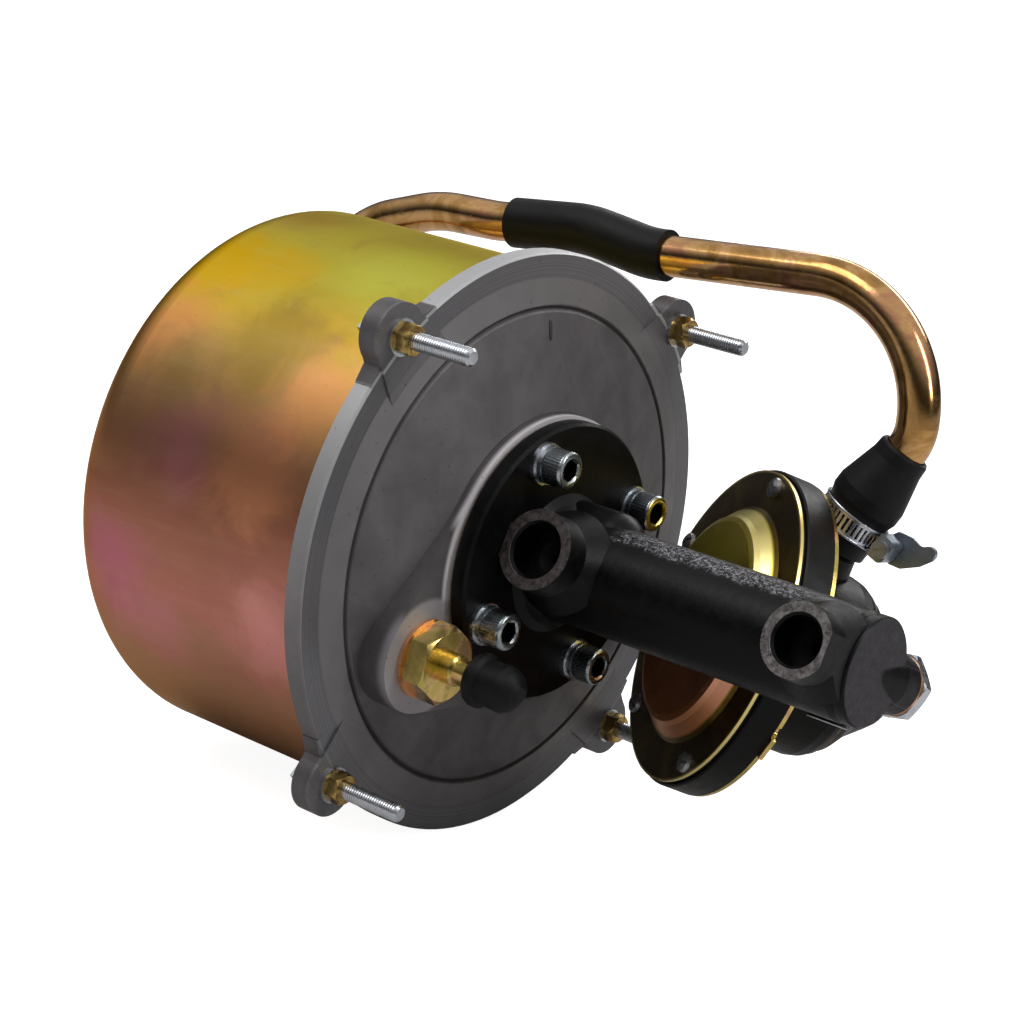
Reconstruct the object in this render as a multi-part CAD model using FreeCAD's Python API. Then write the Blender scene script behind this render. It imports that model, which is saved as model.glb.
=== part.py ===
import FreeCAD, Part
import math
import os

# Remote vacuum brake booster for a light truck, with its hydraulic slave cylinder,
# relay valve, air pipe and vacuum union.
# Frame: millimetres. +X is the booster axis, pointing from the pressed shell to the
# hydraulic cylinder. +Z is up. The origin is the centre of the cover's ear faces.

# Pressed rear shell
SHELL_R = 98.0
SHELL_T = 1.6
SHELL_DEPTH = 122.0
SHELL_CORNER_R = 16.0
LIP_W = 4.5
REAR_PORT_Y = 40.0
REAR_PORT_Z = 42.0
GROMMET_NECK_R = 10.4

# Front cover and ears
COVER_LEDGE = 1.9
RIM_T = 7.0
RING_W = 8.4
SLOPE_W = 11.2
STEP_H = 2.4
CONE_X = 10.8
PAD_R = 50.5
PAD_X = 15.0
HUB_BACK_X = 2.0
COVER_WALL = 7.0
PILOT_W = 5.05
PILOT_GAP = 0.15
SEAL_INSET = 1.5
SEAL_W = 2.2
SEAL_T = 1.8
EAR_OUT = 5.263
EAR_R = 11.4
EAR_BACK_X = -7.0
EAR_RAISE = 0.9

LIP_R = SHELL_R + LIP_W
SHELL_IN_R = SHELL_R - SHELL_T
COVER_R = LIP_R + COVER_LEDGE
RING_IN_R = COVER_R - RING_W
STEP_R = RING_IN_R - SLOPE_W
CONE_IN_R = PAD_R + 0.5
EAR_HALF_SIDE = (LIP_R + EAR_OUT) / math.sqrt(2.0)
SEAL_OUT_R = LIP_R - SEAL_INSET
SEAL_IN_R = SEAL_OUT_R - SEAL_W

# Tie studs, nuts and washers (M6)
STUD_R = 3.0
STUD_PITCH_R = 2.7
STUD_HOLE_R = 3.3
STUD_TIP_X = 31.8
TIE_WASHER_T = 1.2
TIE_WASHER_R = 6.3
TIE_NUT_T = 5.2
TIE_NUT_AF = 10.0
STUD_FOOT_X = -9.5

# Hydraulic cylinder casting, turned about the booster axis
CAST_TURN = -19.0
FLANGE_R = 49.5
FLANGE_T = 6.4
GASKET_T = 0.6
SPIGOT_R = 25.0
SPIGOT_BACK_X = -8.0
CYL_R = 18.8
CYL_END_X = 151.6
END_RIM_R = 18.5
END_GROOVE = 0.9
BORE_R = 11.0
BORE_END_X = 146.0
SCREW_HALF_SIDE = 28.8
PORT_FACE_U = 34.0
PORT_X = (34.9, 139.7)
PORT_BOSS_R = (13.9, 12.4)
PORT_BORE_R = (9.2, 8.2)
PORT_DEPTH = 11.0
SEAT_R = 6.2
SEAT_DEEP = 4.6

# Flange cap screws (M8)
CAP_R = 6.5
CAP_H = 8.0
CAP_THREAD_R = 4.0
CAP_LENGTH = 18.0
SPRING_WASHER_T = 2.2
PLAIN_WASHER_T = 1.6

# Running parts
ROD_R = 6.0
PISTON_CLEAR = 26.0
PLATE_T = 2.0
CUP_T = 4.0
CUP_GAP = 0.3
HYD_PISTON_X = 42.0
HYD_PISTON_L = 22.0
RUN_GAP = 0.05
SPRING_R = 34.0
SPRING_WIRE_R = 2.6
SPRING_TURNS = 6
SPRING_RUNS = 16
PISTON_X = PISTON_CLEAR - SHELL_DEPTH

# Relay valve, placed in the plane of the turned casting
VALVE_X = 56.1
VALVE_U = 56.6
VALVE_TILT = 35.3
RING_R = 59.5
RING_T = 10.6
RING_IN = 44.0
SEAT_PLATE_T = 1.6
DOME_FLANGE_R = 58.3
DOME_BASE_R = 43.3
DOME_TOP_R = 38.0
DOME_H = 7.0
DOME_T = 1.2
DIAPHRAGM_T = 1.2
COVER_SCREW_PCR = 53.2
COVER_SCREW_ANGLE = 66.2
BODY_R = 34.2
BODY_STRAIGHT_S = 40.0
BODY_END_S = 46.0
BODY_END_R = 32.2
CAVITY_R = 26.5
HOUSING_SCREW_PCR = 30.2
BODY_GASKET_T = 0.8
BOSS_R = 13.0
BOSS_END_S = 69.0
BODY_SCREW_PCR = 25.0
BODY_SCREW_S = 51.4
BODY_SCREW_L = 15.0
RELAY_BORE_R = 8.0
PLUG_X = 143.3
PLUG_BOSS_R = 10.6
PLUG_BOSS_U = 27.6
PLUG_AF = 21.0
PLUG_HEAD = 5.2
PLUG_THREAD_R = 7.0
PLUG_THREAD_L = 8.0
ARM_HALF_W = 9.0
ARM_X = (116.0, 129.0)

# Hose, clamp and air pipe
BAND_S = 26.4
BAND_SIDE = 16.8
BAND_UP = 51.8
NECK_ANGLE = 65.8
NECK_LEAN = 8.1
NECK_R = 9.6
NECK_END = 6.0
HOSE_START = -10.0
HOSE_END = 31.0
HOSE_R = 12.1
HOSE_BULGE_R = 13.2
HOSE_TOP_R = 9.6
BAND_W = 8.0
BAND_T = 0.7
BAND_EDGE = 0.45
CLAMP_TURN = 70.0
PIPE_R = 7.6
PIPE_WALL = 1.2
SLEEVE_R = 9.6
SLEEVE_ENDS = (8.0, 33.5)
PIPE_TOP = (98.9, 87.3, 111.6)
PIPE_DIP = (-19.5, 80.4, 100.6)
PIPE_CREST = (-48.0, 78.7, 104.0)
PIPE_BACK = (-90.0, 76.2, 99.0)
PIPE_FALL = (-118.0, 74.6, 98.0)
PIPE_DROP = (72.2, 84.5)
PIPE_BEHIND = 35.0
PIPE_BENDS = (20.0, 44.5, 50.0, 55.0, 50.0, 60.0, 24.0, 24.0)
PIPE_SPLIT = 15.0

# Vacuum union
UNION_Y = -56.0
UNION_Z = -30.0
UNION_BOSS_R = 19.5
UNION_AF = 24.0
UNION_HEX_T = 9.0
UNION_WASHER_T = 1.5
NIPPLE_R = 4.5
NIPPLE_END_X = 50.0
UNION_THREAD_R = 8.0
CAP_START_X = 38.5
CAP_END_X = 57.0
CAP_OUT_R = 9.2

THREAD_GAP = 0.02

V = FreeCAD.Vector
X_AXIS = V(1, 0, 0)
Y_AXIS = V(0, 1, 0)
Z_AXIS = V(0, 0, 1)
ORIGIN = V(0, 0, 0)


# Shape helpers
def rod(radius, start, end):
    """Solid cylinder between two points."""
    axis = end.sub(start)
    return Part.makeCylinder(radius, axis.Length, start, axis)


def tube(outer, inner, start, end):
    """Hollow cylinder between two points."""
    axis = end.sub(start)
    shell = Part.makeCylinder(outer, axis.Length, start, axis)
    return shell.cut(Part.makeCylinder(inner, axis.Length, start, axis))


def turned(points, start=ORIGIN, axis=X_AXIS):
    """Revolve a closed profile of (along, radius) pairs about X."""
    wire = Part.makePolygon([V(a, r, 0) for a, r in points] + [V(points[0][0], points[0][1], 0)])
    return Part.Face(wire).revolve(start, axis, 360)


def prism(outline, x_from, x_to):
    """Extrude a closed outline of (y, z) pairs along X."""
    wire = Part.makePolygon([V(x_from, y, z) for y, z in outline + outline[:1]])
    return Part.Face(wire).extrude(V(x_to - x_from, 0, 0))


def hexagon(across_flats, x_from, x_to, y=0.0, z=0.0, turn=0.0):
    """Hexagonal prism along X with its outer corners chamfered."""
    corner_r = across_flats / math.sqrt(3.0)
    angles = [math.radians(turn + 60 * i) for i in range(6)]
    outline = [(y + corner_r * math.cos(a), z + corner_r * math.sin(a)) for a in angles]
    body = prism(outline, x_from, x_to)
    length = x_to - x_from
    chamfer = 0.42 * (corner_r - across_flats / 2)
    profile = [
        (0, 0),
        (0, across_flats / 2 + chamfer),
        (min(1.2, 0.3 * length), corner_r + 0.01),
        (length - min(1.2, 0.3 * length), corner_r + 0.01),
        (length, across_flats / 2),
        (length, 0),
    ]
    trim = turned(profile)
    trim.translate(V(x_from, y, z))
    return body.common(trim)


def along_x(radius, x_from, x_to, y=0.0, z=0.0):
    """Solid cylinder along X."""
    return rod(radius, V(x_from, y, z), V(x_to, y, z))


def ring_x(outer, inner, x_from, x_to, y=0.0, z=0.0):
    """Hollow cylinder along X."""
    return tube(outer, inner, V(x_from, y, z), V(x_to, y, z))


def fused(shapes):
    """Fuse a list of shapes into one solid and clean its seams."""
    shape = shapes[0].multiFuse(shapes[1:]).removeSplitter()
    return shape.Solids[0] if len(shape.Solids) == 1 else shape


def group(shapes):
    """Keep identical separate solids together."""
    return Part.makeCompound(shapes)


def coil(radius, wire_r, x_from, x_to, turns):
    """Helical spring along X whose wire ends lie on the two seats."""
    height = (x_to - x_from) - 2 * wire_r
    helix = Part.makeHelix(height / turns, height, radius)
    section = Part.Wire([Part.makeCircle(wire_r, V(radius, 0, 0), Y_AXIS)])
    spring = Part.Wire(helix).makePipeShell([section], True, True)
    spring.rotate(ORIGIN, Y_AXIS, 90)
    spring.translate(V(x_from + wire_r, 0, 0))
    return spring


def wound_spring(radius, wire_r, x_from, x_to, turns, runs):
    """Heavy coil along X, swept along short straight runs, a number of them to each turn."""
    count = turns * runs
    step = (x_to - x_from - 2 * wire_r) / count
    points = []
    for i in range(count + 1):
        y, z = polar(radius, 360.0 * i / runs)
        points.append(V(x_from + wire_r + step * i, y, z))
    section = Part.Wire([Part.makeCircle(wire_r, points[0], points[1].sub(points[0]))])
    return Part.makePolygon(points).makePipeShell([section], True, False, 1)


def bent_path(points, radii):
    """Wire of straight runs joined by round bends at the inner points."""
    edges = []
    last = points[0]
    for i in range(1, len(points) - 1):
        corner = points[i]
        back = points[i - 1].sub(corner).normalize()
        ahead = points[i + 1].sub(corner).normalize()
        half = 0.5 * back.getAngle(ahead)
        run = radii[i - 1] / math.tan(half)
        first = corner.add(V(back).multiply(run))
        final = corner.add(V(ahead).multiply(run))
        inward = V(back).add(ahead).normalize()
        centre = corner.add(V(inward).multiply(radii[i - 1] / math.sin(half)))
        middle = centre.sub(V(inward).multiply(radii[i - 1]))
        edges.append(Part.makeLine(last, first))
        edges.append(Part.Arc(first, middle, final).toShape())
        last = final
    edges.append(Part.makeLine(last, points[-1]))
    return Part.Wire(edges)


def swept(path, radius):
    """Round bar that follows a path."""
    start = path.Edges[0]
    direction = start.tangentAt(start.FirstParameter)
    section = Part.Wire([Part.makeCircle(radius, start.valueAt(start.FirstParameter), direction)])
    return path.makePipeShell([section], True, False)


def turn_casting(shape):
    """Turn a shape of the casting frame (x, u, w) into the booster frame."""
    shape = shape.copy()
    shape.rotate(ORIGIN, X_AXIS, CAST_TURN)
    return shape


TILT = math.radians(VALVE_TILT)
VALVE_DIR = (math.sin(TILT), math.cos(TILT))
VALVE_SIDE = (math.cos(TILT), -math.sin(TILT))


def valve_plane_point(s, side):
    """Casting frame x and u of a point s along the valve axis and side off it."""
    x = VALVE_X + s * VALVE_DIR[0] + side * VALVE_SIDE[0]
    u = VALVE_U + s * VALVE_DIR[1] + side * VALVE_SIDE[1]
    return x, u


def valve_matrix():
    """Valve frame: X along the valve axis away from the dome, Y sideways, Z up."""
    m = FreeCAD.Matrix()
    m.A11, m.A12, m.A13, m.A14 = VALVE_DIR[0], VALVE_SIDE[0], 0.0, VALVE_X
    m.A21, m.A22, m.A23, m.A24 = VALVE_DIR[1], VALVE_SIDE[1], 0.0, VALVE_U
    m.A31, m.A32, m.A33, m.A34 = 0.0, 0.0, -1.0, 0.0
    return m


def place_valve(shape):
    """Move a shape of the valve frame to its place in the booster frame."""
    placement = FreeCAD.Placement(valve_matrix())
    shape = shape.copy()
    shape.Placement = placement.multiply(shape.Placement)
    return turn_casting(shape)


def polar(radius, angle):
    """Y and Z of a point at a radius and an angle in degrees."""
    return radius * math.cos(math.radians(angle)), radius * math.sin(math.radians(angle))


EARS = [(sy * EAR_HALF_SIDE, sz * EAR_HALF_SIDE) for sy in (-1, 1) for sz in (-1, 1)]
SCREW_SPOTS = [(sy * SCREW_HALF_SIDE, sz * SCREW_HALF_SIDE) for sy in (-1, 1) for sz in (-1, 1)]
FLANGE_BACK_X = PAD_X + GASKET_T
FLANGE_FRONT_X = FLANGE_BACK_X + FLANGE_T


# Pressed shell
def rear_shell():
    c = SHELL_CORNER_R
    back = -SHELL_DEPTH
    steps = [math.radians(90 * i / 8) for i in range(9)]
    outer = [(back + c - c * math.sin(a), SHELL_R - c + c * math.cos(a)) for a in steps]
    ci = c - SHELL_T
    inner = [(back + c - ci * math.sin(a), SHELL_R - c + ci * math.cos(a)) for a in steps]
    wire = [Part.makeLine(V(-RIM_T, SHELL_IN_R, 0), V(-RIM_T, LIP_R, 0))]
    wire.append(Part.makeLine(V(-RIM_T, LIP_R, 0), V(-RIM_T - SHELL_T, LIP_R, 0)))
    wire.append(Part.makeLine(V(-RIM_T - SHELL_T, LIP_R, 0), V(-RIM_T - SHELL_T, SHELL_R + 1.6, 0)))
    lip_mid = V(-RIM_T - SHELL_T - 0.47, SHELL_R + 0.47, 0)
    wire.append(Part.Arc(V(-RIM_T - SHELL_T, SHELL_R + 1.6, 0), lip_mid,
                         V(-RIM_T - SHELL_T - 1.6, SHELL_R, 0)).toShape())
    wire.append(Part.makeLine(V(-RIM_T - SHELL_T - 1.6, SHELL_R, 0), V(back + c, SHELL_R, 0)))
    wire.append(Part.Arc(V(*outer[0], 0), V(*outer[4], 0), V(*outer[8], 0)).toShape())
    dish = [(back, 40.0), (back + 2.5, 35.0), (back + 2.5, 0.0)]
    dish_in = [(back + 2.5 + SHELL_T, 0.0), (back + 2.5 + SHELL_T, 34.2), (back + SHELL_T, 39.2)]
    run = [outer[8]] + dish + dish_in + [inner[8]]
    for a, b in zip(run[:-1], run[1:]):
        wire.append(Part.makeLine(V(*a, 0), V(*b, 0)))
    wire.append(Part.Arc(V(*inner[8], 0), V(*inner[4], 0), V(*inner[0], 0)).toShape())
    wire.append(Part.makeLine(V(*inner[0], 0), V(-RIM_T, SHELL_IN_R, 0)))
    shell = Part.Face(Part.Wire(Part.sortEdges(wire)[0])).revolve(ORIGIN, X_AXIS, 360)
    hole = along_x(GROMMET_NECK_R, back - 5, back + 10, REAR_PORT_Y, REAR_PORT_Z)
    return shell.cut(hole)


def shell_seal():
    return ring_x(SEAL_OUT_R, SEAL_IN_R, -RIM_T, -RIM_T + SEAL_T)


# Cast front cover
def front_cover():
    front = [(-RIM_T, COVER_R), (-0.8, COVER_R), (0, COVER_R - 0.8), (0, RING_IN_R),
             (STEP_H - 0.3, STEP_R + 1.6), (STEP_H - 0.9, STEP_R + 0.6), (STEP_H + 0.2, STEP_R - 0.8),
             (CONE_X, CONE_IN_R), (CONE_X, SPIGOT_R + 0.1)]
    back = [(HUB_BACK_X, SPIGOT_R + 0.1), (HUB_BACK_X, PAD_R + 6), (STEP_H - COVER_WALL, STEP_R),
            (-RIM_T - 4, SHELL_IN_R - PILOT_GAP - PILOT_W), (-RIM_T - 4, SHELL_IN_R - PILOT_GAP),
            (-RIM_T, SHELL_IN_R - PILOT_GAP)]
    shape = turned(front + back)
    pieces = [shape, along_x(PAD_R, HUB_BACK_X, PAD_X).cut(along_x(SPIGOT_R + 0.1, 0, PAD_X + 1))]
    # Teardrop pad reaching the vacuum union boss
    pieces.append(along_x(UNION_BOSS_R, HUB_BACK_X + 0.5, PAD_X, UNION_Y, UNION_Z))
    reach = math.hypot(UNION_Y, UNION_Z)
    heading = math.atan2(UNION_Z, UNION_Y)
    spread = math.acos((PAD_R - UNION_BOSS_R) / reach)
    web = []
    for sign, centre, radius in ((1, 0.0, PAD_R), (1, reach, UNION_BOSS_R),
                                 (-1, reach, UNION_BOSS_R), (-1, 0.0, PAD_R)):
        a = heading + sign * spread
        web.append((centre * math.cos(heading) + radius * math.cos(a),
                    centre * math.sin(heading) + radius * math.sin(a)))
    web_solid = prism(web, HUB_BACK_X + 0.5, PAD_X)
    pieces.append(web_solid.cut(along_x(SPIGOT_R + 0.1, 0, PAD_X + 1)))
    # Four ears with their raised platforms and gussets
    for y, z in EARS:
        angle = math.degrees(math.atan2(z, y))
        r = math.hypot(y, z)
        lobe = along_x(EAR_R, EAR_BACK_X, EAR_RAISE, r, 0)
        neck = prism([(r, EAR_R), (STEP_R + 4, EAR_R + 4.5), (STEP_R + 4, -EAR_R - 4.5), (r, -EAR_R)],
                     EAR_BACK_X, EAR_RAISE)
        fillet = prism([(r - 2, EAR_R), (COVER_R - 1.2, EAR_R + 7), (STEP_R + 8, EAR_R + 4),
                        (STEP_R + 8, -EAR_R - 4), (COVER_R - 1.2, -EAR_R - 7), (r - 2, -EAR_R)],
                       -RIM_T, 0)
        ear = lobe.fuse(neck).fuse(fillet)
        ear = ear.cut(along_x(LIP_R + 0.5, EAR_BACK_X - 1, -RIM_T))
        ear.rotate(ORIGIN, X_AXIS, angle)
        pieces.append(ear)
    cover = fused(pieces)
    for y, z in EARS:
        cover = cover.cut(along_x(STUD_HOLE_R, EAR_BACK_X - 1, EAR_RAISE + 1, y, z))
    cover = cover.cut(ring_x(SEAL_OUT_R, SEAL_IN_R, -RIM_T - 0.01, -RIM_T + SEAL_T))
    cover = cover.cut(along_x(UNION_THREAD_R + THREAD_GAP, HUB_BACK_X - 4, PAD_X + 1, UNION_Y, UNION_Z))
    threads = [along_x(CAP_THREAD_R + THREAD_GAP, CAP_TIP_X - 1.5, PAD_X + 1, y, z) for y, z in SCREW_SPOTS]
    return cover.cut(turn_casting(group(threads)))


CAP_BASE_X = FLANGE_FRONT_X + PLAIN_WASHER_T + SPRING_WASHER_T
CAP_TIP_X = CAP_BASE_X - CAP_LENGTH


# Ties
def tie_studs():
    studs = []
    r = math.hypot(EAR_HALF_SIDE, EAR_HALF_SIDE)
    for y, z in EARS:
        free_x = EAR_RAISE + TIE_WASHER_T + TIE_NUT_T
        shank = turned([(STUD_FOOT_X - 1, 0), (STUD_FOOT_X - 1, STUD_PITCH_R), (free_x, STUD_PITCH_R),
                        (free_x, STUD_R), (STUD_TIP_X - 0.8, STUD_R), (STUD_TIP_X, STUD_R - 0.8),
                        (STUD_TIP_X, 0)])
        shank.translate(V(0, r, 0))
        foot = Part.makeBox(3.4, r + 4.5 - (SHELL_R + 1.8), 8.0, V(STUD_FOOT_X - 3.5, SHELL_R + 1.8, -4.0))
        nib = Part.makeBox(STUD_FOOT_X - 0.1 - (-RIM_T - SHELL_T) + 2.0, LIP_R - SHELL_R - 1.9, 8.0,
                           V(STUD_FOOT_X - 1.1, SHELL_R + 1.9, -4.0))
        nib = nib.common(Part.makeBox(10, 400, 400, V(-RIM_T - SHELL_T - 10, -200, -200)))
        stud = fused([shank, foot, nib])
        stud.rotate(ORIGIN, X_AXIS, math.degrees(math.atan2(z, y)))
        studs.append(stud)
    return group(studs)


def tie_washers():
    return group([ring_x(TIE_WASHER_R, STUD_HOLE_R, EAR_RAISE, EAR_RAISE + TIE_WASHER_T, y, z)
                  for y, z in EARS])


def tie_nuts():
    base = EAR_RAISE + TIE_WASHER_T
    nuts = []
    for i, (y, z) in enumerate(EARS):
        nut = hexagon(TIE_NUT_AF, base, base + TIE_NUT_T, y, z, 18 + 23 * i)
        nuts.append(nut.cut(along_x(STUD_PITCH_R + THREAD_GAP, base - 1, base + TIE_NUT_T + 1, y, z)))
    return group(nuts)


# Power piston and push rod
RETAINER_X = PISTON_X - PLATE_T - CUP_T


def power_piston_plate():
    x = PISTON_X
    r = SHELL_IN_R - 5.0
    shape = turned([(x - PLATE_T, ROD_R), (x, ROD_R), (x, r - 8), (x + 4, r - 2), (x + 4, r),
                    (x + 2.4, r), (x - PLATE_T, r - 8)])
    return shape


def power_piston_cup():
    x = PISTON_X - PLATE_T
    r = SHELL_IN_R - CUP_GAP
    inner = SHELL_IN_R - 5.0 - 7.95
    return turned([(x, ROD_R + 14), (x, inner), (x + 3.4, r - 4.4), (x + 10, r - 3.0), (x + 10, r - 0.4),
                   (x + 8, r), (x - CUP_T, r - 0.6), (x - CUP_T, ROD_R + 14)])


def power_piston_retainer():
    x = RETAINER_X
    spacer = ring_x(ROD_R + 14, ROD_R, x, x + CUP_T)
    plate = turned([(x - PLATE_T, ROD_R), (x, ROD_R), (x, SHELL_IN_R - 10), (x - PLATE_T, SHELL_IN_R - 11)])
    return fused([spacer, plate])


def rod_nut():
    x = RETAINER_X - PLATE_T
    nut = hexagon(18.0, x - 8.0, x, 0, 0, 10)
    return nut.cut(along_x(ROD_R - 1 + THREAD_GAP, x - 10, x + 1))


def push_rod():
    x = RETAINER_X - PLATE_T
    neck_x = RETAINER_X - PLATE_T
    return turned([(x - 9.5, 0), (x - 9.5, ROD_R - 1.6), (x - 8.9, ROD_R - 1), (neck_x, ROD_R - 1),
                   (neck_x, ROD_R), (PISTON_X, ROD_R), (PISTON_X, ROD_R + 3), (PISTON_X + 4, ROD_R + 3),
                   (PISTON_X + 4, ROD_R), (HYD_PISTON_X + 9.5, ROD_R), (HYD_PISTON_X + 10, ROD_R - 0.5),
                   (HYD_PISTON_X + 10, 0)]).cut(piston_pin_hole())


def piston_pin_hole():
    x = HYD_PISTON_X + 5.0
    return turn_casting(rod(1.5, V(x, 0, -BORE_R), V(x, 0, BORE_R)))


def piston_pin():
    x = HYD_PISTON_X + 5.0
    reach = BORE_R - 1.5
    return turn_casting(rod(1.5, V(x, 0, -reach), V(x, 0, reach)))


def return_spring():
    x_from = PISTON_X + 0.01
    x_to = HUB_BACK_X - 0.01
    return wound_spring(SPRING_R, SPRING_WIRE_R, x_from, x_to, SPRING_TURNS, SPRING_RUNS)


# Rod guide, seal and clip in the back of the cylinder bore
def rod_guide():
    x = SPIGOT_BACK_X + 3.6
    outer = BORE_R
    return turned([(x, ROD_R + RUN_GAP), (x, outer), (x + 11, outer), (x + 11, ROD_R + RUN_GAP)])


def rod_seal():
    x = SPIGOT_BACK_X + 3.6 + 11
    return turned([(x, ROD_R + CUP_GAP), (x, BORE_R), (x + 5.5, BORE_R), (x + 5.5, BORE_R - 1.6),
                   (x + 2.2, BORE_R - 2.2), (x + 2.2, ROD_R + 1.6), (x + 5, ROD_R + 1.0),
                   (x + 5, ROD_R + CUP_GAP)])


def guide_clip():
    x = SPIGOT_BACK_X + 2.0
    ring = ring_x(BORE_R + 1.2, BORE_R - 2.4, x, x + 1.5)
    return ring.cut(Part.makeBox(3, 20, 3, V(x - 0.5, 0, -1.5)))


# Hydraulic piston group
def hydraulic_piston():
    x = HYD_PISTON_X
    r = BORE_R - RUN_GAP
    end = x + HYD_PISTON_L
    body = turned([(x, 0), (x, r), (x + 12, r), (x + 12, r - 1.5), (x + 15, r - 1.5), (x + 15, r),
                   (end, r), (end, 4.6), (end + 6.5, 4.6), (end + 6.5, 0)])
    body = body.cut(along_x(ROD_R + RUN_GAP, x - 1, x + 10.2))
    body = body.cut(along_x(BALL_SEAT_R, x + 11, end + 10))
    body = body.cut(along_x(BALL_R + 0.3, BALL_SEAT_X, end + 10))
    flow = group([along_x(1.1, x - 1, x + 13, r - 2.2, 0), rod(1.1, V(x + 13.5, 0, 0), V(x + 13.5, r, 0))])
    return body.cut(piston_pin_hole()).cut(turn_casting(flow))


def piston_cup():
    x = HYD_PISTON_X + HYD_PISTON_L
    r = BORE_R - CUP_GAP
    return turned([(x, 4.6), (x, r), (x + 5.5, r), (x + 5.5, r - 1.6), (x + 2.4, r - 2.4),
                   (x + 2.4, 5.8), (x + 5, 5.2), (x + 5, 4.6)])


BALL_R = 3.0
BALL_SEAT_R = 1.6
BALL_SEAT_X = HYD_PISTON_X + HYD_PISTON_L - 4.0


def check_ball():
    lift = math.sqrt(BALL_R ** 2 - BALL_SEAT_R ** 2)
    return Part.makeSphere(BALL_R, V(BALL_SEAT_X + lift + 0.02, 0, 0))


def check_retainer():
    x = HYD_PISTON_X + HYD_PISTON_L + 3.0
    return ring_x(3.3, 1.4, x, x + 2.0)


# Hydraulic cylinder casting
LUG_X = 133.5
LUG_U = 14.0
LUG_R = 7.0
LUG_W = 19.6
ARM_FOOT_U = 8.0
ARM_BEND_U = 58.0
DRILL_R = 1.6
DRILL_U = 14.9


def arm_outline():
    """Casting frame (x, u) outline of the arm that joins the cylinder to the relay boss."""
    near, far = ARM_X
    joint = BODY_END_S + BODY_GASKET_T
    return [(near, ARM_FOOT_U), (near, ARM_BEND_U), valve_plane_point(joint + 1.2, 30.0),
            valve_plane_point(joint + 5.2, 5.0), valve_plane_point(BOSS_END_S - 5.0, 8.0),
            valve_plane_point(BOSS_END_S - 8.5, 30.0), (far, ARM_BEND_U + 4.0), (far, ARM_FOOT_U)]


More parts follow.
